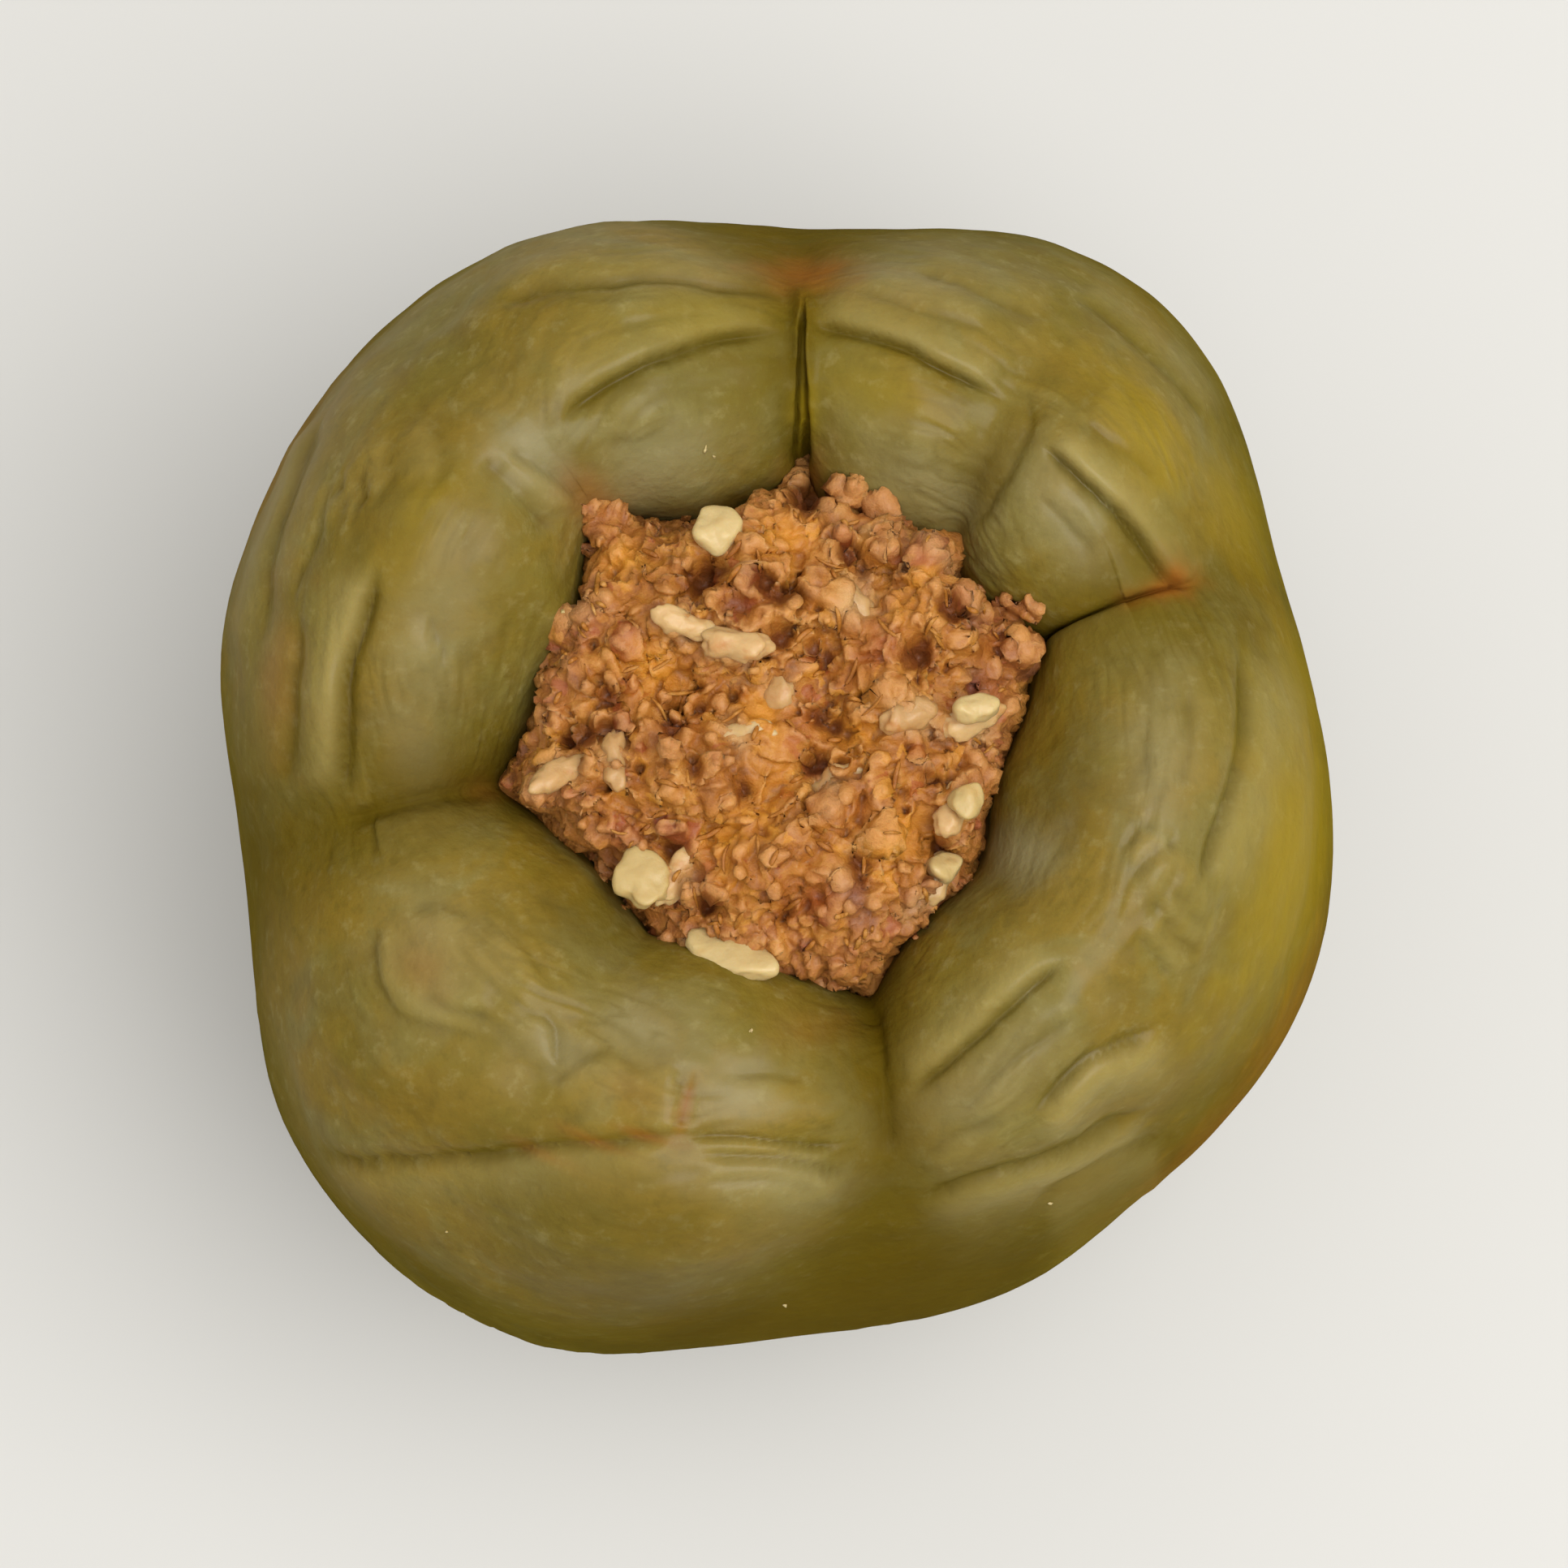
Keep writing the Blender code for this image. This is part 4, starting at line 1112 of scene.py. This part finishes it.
def lying(normal, pointing, tilt):
    """The turn that lays a grain, which is long in X and thin in Z, on a surface."""
    up = (normal + Vector((0, 0, LEVELLING))).normalized()
    along = Vector((*in_the_plane(pointing, 1.0), 0))
    along = (along - up * along.dot(up)).normalized()
    across = up.cross(along)
    laid = Matrix((along, across, up)).transposed()
    return (Matrix.Rotation(math.radians(tilt), 3, across) @ laid).to_quaternion()


def knobbly(points, knobs, place_in_noise):
    """A grain's points pushed in and out from its middle."""
    offset = Vector((place_in_noise, 0, 0))
    reach = [1 + sum(deep * noise.noise(Vector(p) / size + offset) for size, deep in knobs) for p in points]
    return points * np.array(reach)[:, None]


def make_rice(ground, chance):
    grains = Joined()
    points, faces = ball(GRAIN_SUBDIVISIONS)
    for angle, distance, pointing in RICE:
        place, normal = ground.under(*at_polar(angle, distance))
        length, width = chance.uniform(*RICE_LENGTH), chance.uniform(*RICE_WIDTH)
        bend, burst = chance.uniform(-RICE_BEND, RICE_BEND), chance.uniform(*RICE_BURST)
        x, y, z = points.T
        waist = 1 - burst * np.exp(-(((x - bend / 2) / RICE_WAIST) ** 2))
        curved = y * width / 2 * waist + bend * x**2
        grain = np.stack([x * length / 2, curved, z * width / RICE_FLATNESS * waist], axis=1)
        grain = knobbly(grain, RICE_KNOBS, pointing)
        turn = lying(normal, pointing, chance.uniform(-RICE_TILT, RICE_TILT))
        grains.add(turned(grain, turn, place - normal * RICE_SUNK), faces, chance.random())
    return grains.piece("rice_grains")


def make_seeds(ground, chance):
    seeds = Joined()
    points, faces = ball(GRAIN_SUBDIVISIONS)
    x, y, z = points.T
    to_one_end, to_both = SEED_NARROWING
    narrowing = 1 - to_one_end * x - to_both * x**2
    in_the_middle, more, closeness = SEED_RIM
    thickness = SEED_THICKNESS / 2 * (in_the_middle + more * np.hypot(x, y) ** closeness)
    for angle, distance, pointing, length, width in SEEDS:
        place, normal = ground.under(*at_polar(angle, distance))
        body = [x * length / 2, y * width / 2 * narrowing, z * thickness + SEED_DISH * x**2]
        body = knobbly(np.stack(body, axis=1), SEED_KNOBS, angle)
        turn = lying(normal, pointing, chance.uniform(-SEED_TILT, SEED_TILT))
        seeds.add(turned(body, turn, place + Vector((0, 0, SEED_RAISED))), faces, chance.random())
    return seeds.piece("pepper_seeds")


def make_specks(ground, chance):
    specks = Joined()
    points, faces = ball(CRUMB_SUBDIVISIONS)
    for angle, distance in SPECKS:
        place, _ = ground.under(*at_polar(angle, distance))
        speck = dented(points, chance) * chance.uniform(*SPECK_RADIUS)
        specks.add(turned(speck, tumbled(chance), place), faces, chance.random())
    return specks.piece("spice_specks")


# ---------------- materials


def new_node(tree, kind, inputs=(), **settings):
    node = tree.nodes.new(kind)
    for name, value in settings.items():
        setattr(node, name, value)
    for key, value in dict(inputs).items():
        if isinstance(value, bpy.types.NodeSocket):
            tree.links.new(value, node.inputs[key])
        else:
            node.inputs[key].default_value = value
    return node


def food_material(name, roughness, coat, subsurface, scatter, specular, coat_roughness=0.3):
    """A material whose constant values are set on its shader. Returns it with its tree and shader."""
    material = bpy.data.materials.new(name)
    material.use_nodes = True
    tree = material.node_tree
    shader = tree.nodes["Principled BSDF"]
    constants = {
        "Roughness": roughness, "Coat Weight": coat, "Coat Roughness": coat_roughness,
        "Subsurface Weight": subsurface, "Subsurface Scale": scatter, "Specular IOR Level": specular,
        "Subsurface Radius": (1.0, 0.55, 0.2), "Metallic": 0.0,
    }
    for key, value in constants.items():
        shader.inputs[key].default_value = value
    return material, tree, shader


def colour(rgb):
    """Linear colour from one given as 0 to 255 on a screen."""
    channel = np.array(rgb) / 255
    linear = np.where(channel <= 0.04045, channel / 12.92, ((channel + 0.055) / 1.055) ** 2.4)
    return (*linear.tolist(), 1.0)


def mottle(tree, size, detail=3.0, rough=0.55, stretch=(1, 1, 1), warp=0.0):
    """Noise from 0 to 1 whose blotches are this many millimetres large."""
    place = new_node(tree, "ShaderNodeTexCoord").outputs["Object"]
    scaled = new_node(tree, "ShaderNodeMapping", {"Vector": place, "Scale": stretch})
    made = new_node(
        tree, "ShaderNodeTexNoise",
        {"Vector": scaled.outputs[0], "Scale": 1 / (size * METRE), "Detail": detail,
         "Roughness": rough, "Distortion": warp},
    )
    return made.outputs["Fac"]


def mask_of(tree, name):
    """A piece's own number at each point, from add_mask."""
    return new_node(tree, "ShaderNodeAttribute", attribute_name=name).outputs["Fac"]


def between(tree, value, low, high, smooth=True):
    """0 where value is below low and 1 where it is above high."""
    edges = {"Value": value, "From Min": low, "From Max": high}
    kind = "SMOOTHSTEP" if smooth else "LINEAR"
    return new_node(tree, "ShaderNodeMapRange", edges, interpolation_type=kind).outputs["Result"]


def spread(tree, value, low, high):
    """A value from 0 to 1 made to go from low to high."""
    return new_node(tree, "ShaderNodeMapRange", {"Value": value, "To Min": low, "To Max": high}).outputs[0]


def arithmetic(tree, operation, a, b):
    return new_node(tree, "ShaderNodeMath", {0: a, 1: b}, operation=operation).outputs[0]


def blended(tree, share, a, b):
    """Colour a where share is 0 and colour b where it is 1."""
    made = new_node(tree, "ShaderNodeMix", {0: share, 6: a, 7: b}, data_type="RGBA")
    return made.outputs[2]


def bumped(tree, shader, height, distance):
    """Small relief in the material: height from 0 to 1 stands this many millimetres tall."""
    relief = {"Height": height, "Distance": distance * METRE, "Strength": 1.0}
    tree.links.new(new_node(tree, "ShaderNodeBump", relief).outputs[0], shader.inputs["Normal"])


def tinted(tree, base, mask, strength, rgb):
    """The base colour with this one laid over it where the mask shows."""
    return blended(tree, arithmetic(tree, "MULTIPLY", mask, strength), base, colour(rgb))


def laid_over(tree, base, tints):
    """The base colour with tints over it in order. Each has its mask, or its blotches' size and the other
    settings of their noise; the values it comes in between, if it isn't taken as it is; how strongly it
    shows; and its colour."""
    for shape, edges, strength, rgb in tints:
        share = mask_of(tree, shape) if isinstance(shape, str) else mottle(tree, shape[0], **shape[1])
        base = tinted(tree, base, between(tree, share, *edges) if edges else share, strength, rgb)
    return base


FINE_NOISE = {"detail": 4, "rough": 0.65}
SKIN_GREEN = (116, 101, 36)
SKIN_BLOTCHES = (
    ((14, {}), (0.35, 0.65), 1.0, (130, 106, 34)),
    ((8, {"detail": 4, "warp": 0.8}), (0.46, 0.66), 0.65, (123, 113, 60)),
    ((5, {"detail": 4, "warp": 1.0}), (0.5, 0.68), 0.4, (106, 86, 24)),
    ((3.2, {"detail": 5, "stretch": (1, 1, 0.3)}), (0.5, 0.75), 0.35, (108, 98, 34)),
    ((1.3, FINE_NOISE), (0.52, 0.75), 0.35, (158, 146, 92)),
    ((1.3, FINE_NOISE), (0.48, 0.28), 0.4, (98, 84, 26)),
)
# Painted shade on the lower sides, with blotches of its own.
SHADED_FLANK_GREEN = (80, 69, 6)
SHADED_FLANK_BLOTCHES = (
    ((11, {"detail": 4, "stretch": (1, 1, 0.5)}), (0.4, 0.65), 1.0, (104, 90, 16)),
    ((1.7, {"detail": 3, "stretch": (1, 1, 0.6)}), (0.58, 0.72), 0.35, (122, 110, 44)),
)
# In order: painted shade on slopes, hollows and lower front sides; the yellower tone with a painted glow; a
# painted sheen; painted shade in wrinkles; a painted highlight on crease ridges.
SKIN_TINTS = (
    ("deep", (), 0.7, (84, 66, 10)), ("yellow", (), 0.9, (146, 122, 14)), ("haze", (), 0.8, (142, 132, 94)),
    ("wrinkle", (), 0.35, (98, 82, 24)), ("ridge", (), 0.6, (162, 146, 86)),
)
# In order: painted shade in the crease lines; sauce, partly a painted highlight; the flesh's own colour.
TINTS_OVER_GROOVES = (
    ("crease", (), 0.7, (78, 60, 4)), ("sauce", (), 0.75, (152, 88, 30)),
    ("flesh", (), 1.0, (170, 150, 84)),
)
SHADED_FLANKS, FLANK_SHADE_STRENGTH = (82, 56), 0.88  # painted shade: the darker colour of the lower sides comes in between these heights
# Painted shade in the grooves: the groove depths it comes in between, how strongly it shows, and its colour.
GROOVE_SHADE_RANGE, GROOVE_SHADE_STRENGTH, GROOVE_SHADE_COLOUR = (0.4, 1.0), 0.75, (84, 66, 4)
SKIN_BUMPS, MINCE_BUMPS, GRAIN_BUMPS = 0.14, 0.2, 0.08  # height of the relief in each material
COARSE_BUMPS = 1.5  # how much taller the skin's coarser bumps are than its finer ones
SKIN_ROUGHNESS, SKIN_GLOSS = (0.34, 0.58), (0.02, 0.3)
WET_HEIGHTS, WET_OUTSIDE = (66, 84), (0.85, 0.4)  # gloss comes in on the way up and out of the grooves


def skin_material():
    material, tree, shader = food_material(
        "wet_pepper_skin", roughness=0.45, coat=0.0, subsurface=0.2, scatter=0.004, specular=0.0
    )
    height, groove, yellow = (mask_of(tree, name) for name in ("height", "groove", "yellow"))
    base = laid_over(tree, colour(SKIN_GREEN), SKIN_BLOTCHES)
    # Painted shade, darker towards the bottom of the sides, blended in by height.
    shaded_flank = laid_over(tree, colour(SHADED_FLANK_GREEN), SHADED_FLANK_BLOTCHES)
    low = arithmetic(tree, "MULTIPLY", between(tree, height, *SHADED_FLANKS), FLANK_SHADE_STRENGTH)
    base = laid_over(tree, blended(tree, low, base, shaded_flank), SKIN_TINTS)
    not_yellow = arithmetic(tree, "SUBTRACT", 1.0, yellow)
    # Painted shade in the grooves, held back where the yellow patches show.
    groove_shade = arithmetic(tree, "MULTIPLY", between(tree, groove, *GROOVE_SHADE_RANGE), not_yellow)
    base = tinted(tree, base, groove_shade, GROOVE_SHADE_STRENGTH, GROOVE_SHADE_COLOUR)
    tree.links.new(laid_over(tree, base, TINTS_OVER_GROOVES), shader.inputs["Base Color"])
    coarse = arithmetic(tree, "MULTIPLY", mottle(tree, 2.6), COARSE_BUMPS)
    bumped(tree, shader, arithmetic(tree, "ADD", mottle(tree, 0.9, detail=4), coarse), SKIN_BUMPS)
    rough = spread(tree, mottle(tree, 5, detail=4), *SKIN_ROUGHNESS)
    tree.links.new(rough, shader.inputs["Roughness"])
    high, outside = between(tree, height, *WET_HEIGHTS), between(tree, groove, *WET_OUTSIDE)
    gloss = spread(tree, arithmetic(tree, "MULTIPLY", high, outside), *SKIN_GLOSS)
    tree.links.new(gloss, shader.inputs["Coat Weight"])
    return material


def ramp(tree, value, stops):
    """Colours given as (share, rgb) along a value from 0 to 1."""
    node = new_node(tree, "ShaderNodeValToRGB", {"Fac": value})
    elements = node.color_ramp.elements
    while len(elements) < len(stops):
        elements.new(0.5)
    for element, (share, rgb) in zip(elements, stops):
        element.position = share
        element.color = colour(rgb)
    return node.outputs["Color"]


MINCE_TONES = (
    (0.0, (104, 56, 14)), (0.25, (146, 84, 22)), (0.5, (174, 107, 31)), (0.75, (190, 127, 48)),
    (0.95, (204, 152, 84)),
)
MINCE_TINTS = (
    ("hue", (0.2, 0.08), 0.6, (156, 66, 26)), ("hue", (0.8, 0.92), 0.6, (214, 146, 44)),
    ("golden", (), 0.75, (218, 144, 32)), ("rusty", (), 0.65, (150, 68, 20)),
    ("pale", (), 0.7, (206, 166, 112)), ("plum", (), 0.7, (122, 76, 60)),
    # On the next lines, the pit tint and the first hollow tint are painted shade in gaps and hollows; the
    # last hollow tint, on raised bits, is a painted highlight.
    ("margin", (), 0.22, (170, 112, 78)), ("pit", (0.1, 0.7), 0.7, (112, 50, 10)),
    ("hollow", (0.25, 1.0), 0.6, (102, 48, 10)), ("hollow", (-0.1, -0.7), 0.45, (214, 154, 90)),
)


def mince_material():
    """Moist cooked mince. Its tone wanders from spot to spot and from crumb to crumb; pits and hollows are
    painted darker as shade, and raised bits paler as a highlight.
    """
    material, tree, shader = food_material(
        "cooked_mince", roughness=0.5, coat=0.2, subsurface=0.15, scatter=0.0015, specular=0.4
    )
    coarse, fine = mottle(tree, 3.2, detail=5, rough=0.65), mottle(tree, 0.9, detail=4, rough=0.7)
    spots = between(tree, arithmetic(tree, "ADD", coarse, fine), 0.75, 1.3, smooth=False)
    tone = new_node(tree, "ShaderNodeMix", {0: 0.5, 2: mask_of(tree, "tone"), 3: spots}).outputs[0]
    base = laid_over(tree, ramp(tree, tone, MINCE_TONES), MINCE_TINTS)
    tree.links.new(base, shader.inputs["Base Color"])
    bumped(tree, shader, mottle(tree, 0.45, detail=5, rough=0.7), MINCE_BUMPS)
    return material


def grain_material(name, dark, pale, stain, subsurface):
    """Rice or seed: a pale, slightly clear body, stained here and there by the sauce."""
    material, tree, shader = food_material(
        name, roughness=0.42, coat=0.15, subsurface=subsurface, scatter=0.002, specular=0.4
    )
    base = blended(tree, mask_of(tree, "tone"), colour(dark), colour(pale))
    base = laid_over(tree, base, (((2.2, {"detail": 4, "warp": 0.4}), (0.5, 0.72), 0.6, stain),))
    tree.links.new(base, shader.inputs["Base Color"])
    bumped(tree, shader, mottle(tree, 0.6, detail=3), GRAIN_BUMPS)
    return material


# ---------------- stage

FLOOR_HALF = 1.5  # metres
FLOOR_COLOUR = (0.66, 0.65, 0.62, 1)
CAMERA_PLACE = Vector((AXIS_X + 9.3, AXIS_Y - 46.3, 420)) * METRE
CAMERA_AIM = Vector((0, 0, 58)) * METRE
FRAME_WIDTH = 111 * METRE  # what the picture shows at the aim
SENSOR_WIDTH = 36
ROOM_COLOUR = (1, 0.99, 0.97, 1)
# The room's brightness from level with the table up to this share of the way to the zenith.
ROOM_BRIGHTNESS, ROOM_TOP = (0.3, 0.94), 0.9
LAMP_PLACE, LAMP_AIM, LAMP_SIZE, LAMP_POWER = Vector((0.24, -0.1, 0.72)), Vector((0, 0, 0.05)), 0.5, 3.9


def make_stage():
    mesh = bpy.data.meshes.new("floor")
    corners = [(x * FLOOR_HALF, y * FLOOR_HALF, 0) for x, y in ((-1, -1), (1, -1), (1, 1), (-1, 1))]
    mesh.from_pydata(corners, [], [(0, 1, 2, 3)])
    floor = new_object("floor", mesh)
    material, _, shader = food_material(
        "pale_floor", roughness=0.8, coat=0.0, subsurface=0.0, scatter=0.0, specular=0.2, coat_roughness=0.5
    )
    shader.inputs["Base Color"].default_value = FLOOR_COLOUR
    mesh.materials.append(material)


def add_lamp():
    light = bpy.data.lights.new("overhead", "AREA")
    light.shape = "SQUARE"
    light.size = LAMP_SIZE
    light.energy = LAMP_POWER
    lamp = new_object("overhead", light)
    lamp.location = LAMP_PLACE
    lamp.rotation_euler = (LAMP_AIM - LAMP_PLACE).to_track_quat("-Z", "Y").to_euler()


def add_camera():
    data = bpy.data.cameras.new("camera")
    data.sensor_width = SENSOR_WIDTH
    data.lens = SENSOR_WIDTH * (CAMERA_PLACE - CAMERA_AIM).length / FRAME_WIDTH
    camera = new_object("camera", data)
    camera.location = CAMERA_PLACE
    back = (CAMERA_PLACE - CAMERA_AIM).normalized()
    right = Vector((0, 1, 0)).cross(back).normalized()
    camera.rotation_euler = Matrix((right, back.cross(right), back)).transposed().to_euler()
    bpy.context.scene.camera = camera


def light_scene():
    scene = bpy.context.scene
    world = bpy.data.worlds.new("soft_room")
    scene.world = world
    world.use_nodes = True
    tree = world.node_tree
    direction = new_node(tree, "ShaderNodeTexCoord").outputs["Generated"]
    upward = new_node(tree, "ShaderNodeSeparateXYZ", {0: direction}).outputs["Z"]
    darkest, brightest = ROOM_BRIGHTNESS
    glow = new_node(
        tree, "ShaderNodeMapRange",
        {"Value": upward, "From Min": 0.0, "From Max": ROOM_TOP, "To Min": darkest, "To Max": brightest},
    )
    background = tree.nodes["Background"]
    background.inputs["Color"].default_value = ROOM_COLOUR
    tree.links.new(glow.outputs[0], background.inputs["Strength"])
    add_lamp()
    scene.view_settings.view_transform = "Standard"
    scene.view_settings.look = "None"


# ---------------- assembly

make_stage()
add_camera()
light_scene()

skin, skin_rows = make_skin()
skin.data.materials.append(skin_material())
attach(skin, BODY)
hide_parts("pepper_wall")

chance = random.Random(7)  # the same draws on every run
cut_edge = skin_rows[-1]
rim, heap = heap_rows(cut_edge)
core = make_core(rim, heap)
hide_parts("filling")
layer_top = surface_piece("layer_top", [*([rim - (0, 0, HEAP_DEPTH)] * 2), rim, *heap])
ground = Ground(skin, layer_top)
bpy.data.objects.remove(layer_top)
mince_heap = make_heap(rim, heap, ground, chance)
topped = Ground(skin, mince_heap)
shred_mesh = Joined()
scatter_strands(shred_mesh, topped, heap[0], chance, (SHREDS, EDGE_SHREDS), SHRED_LENGTH, SHRED_RADIUS)
shreds = shred_mesh.piece("mince_shreds")
add_mask(shreds, "hue", np.full(shred_mesh.count, PLAIN_HUE))
rice, seeds = make_rice(topped, chance), make_seeds(topped, chance)
specks = make_specks(topped, chance)
mince = mince_material()
seed_cream = grain_material(
    "seed_cream", dark=(186, 158, 98), pale=(204, 178, 122), stain=(190, 150, 84), subsurface=0.25
)
cooked_rice = grain_material(
    "cooked_rice", dark=(180, 136, 82), pale=(208, 172, 116), stain=(180, 114, 48), subsurface=0.3
)
dressings = (
    (core, mince), (mince_heap, mince), (shreds, mince), (rice, cooked_rice),
    (seeds, seed_cream), (specks, seed_cream),
)
for piece, material in dressings:
    piece.data.materials.append(material)
    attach(piece, BODY)
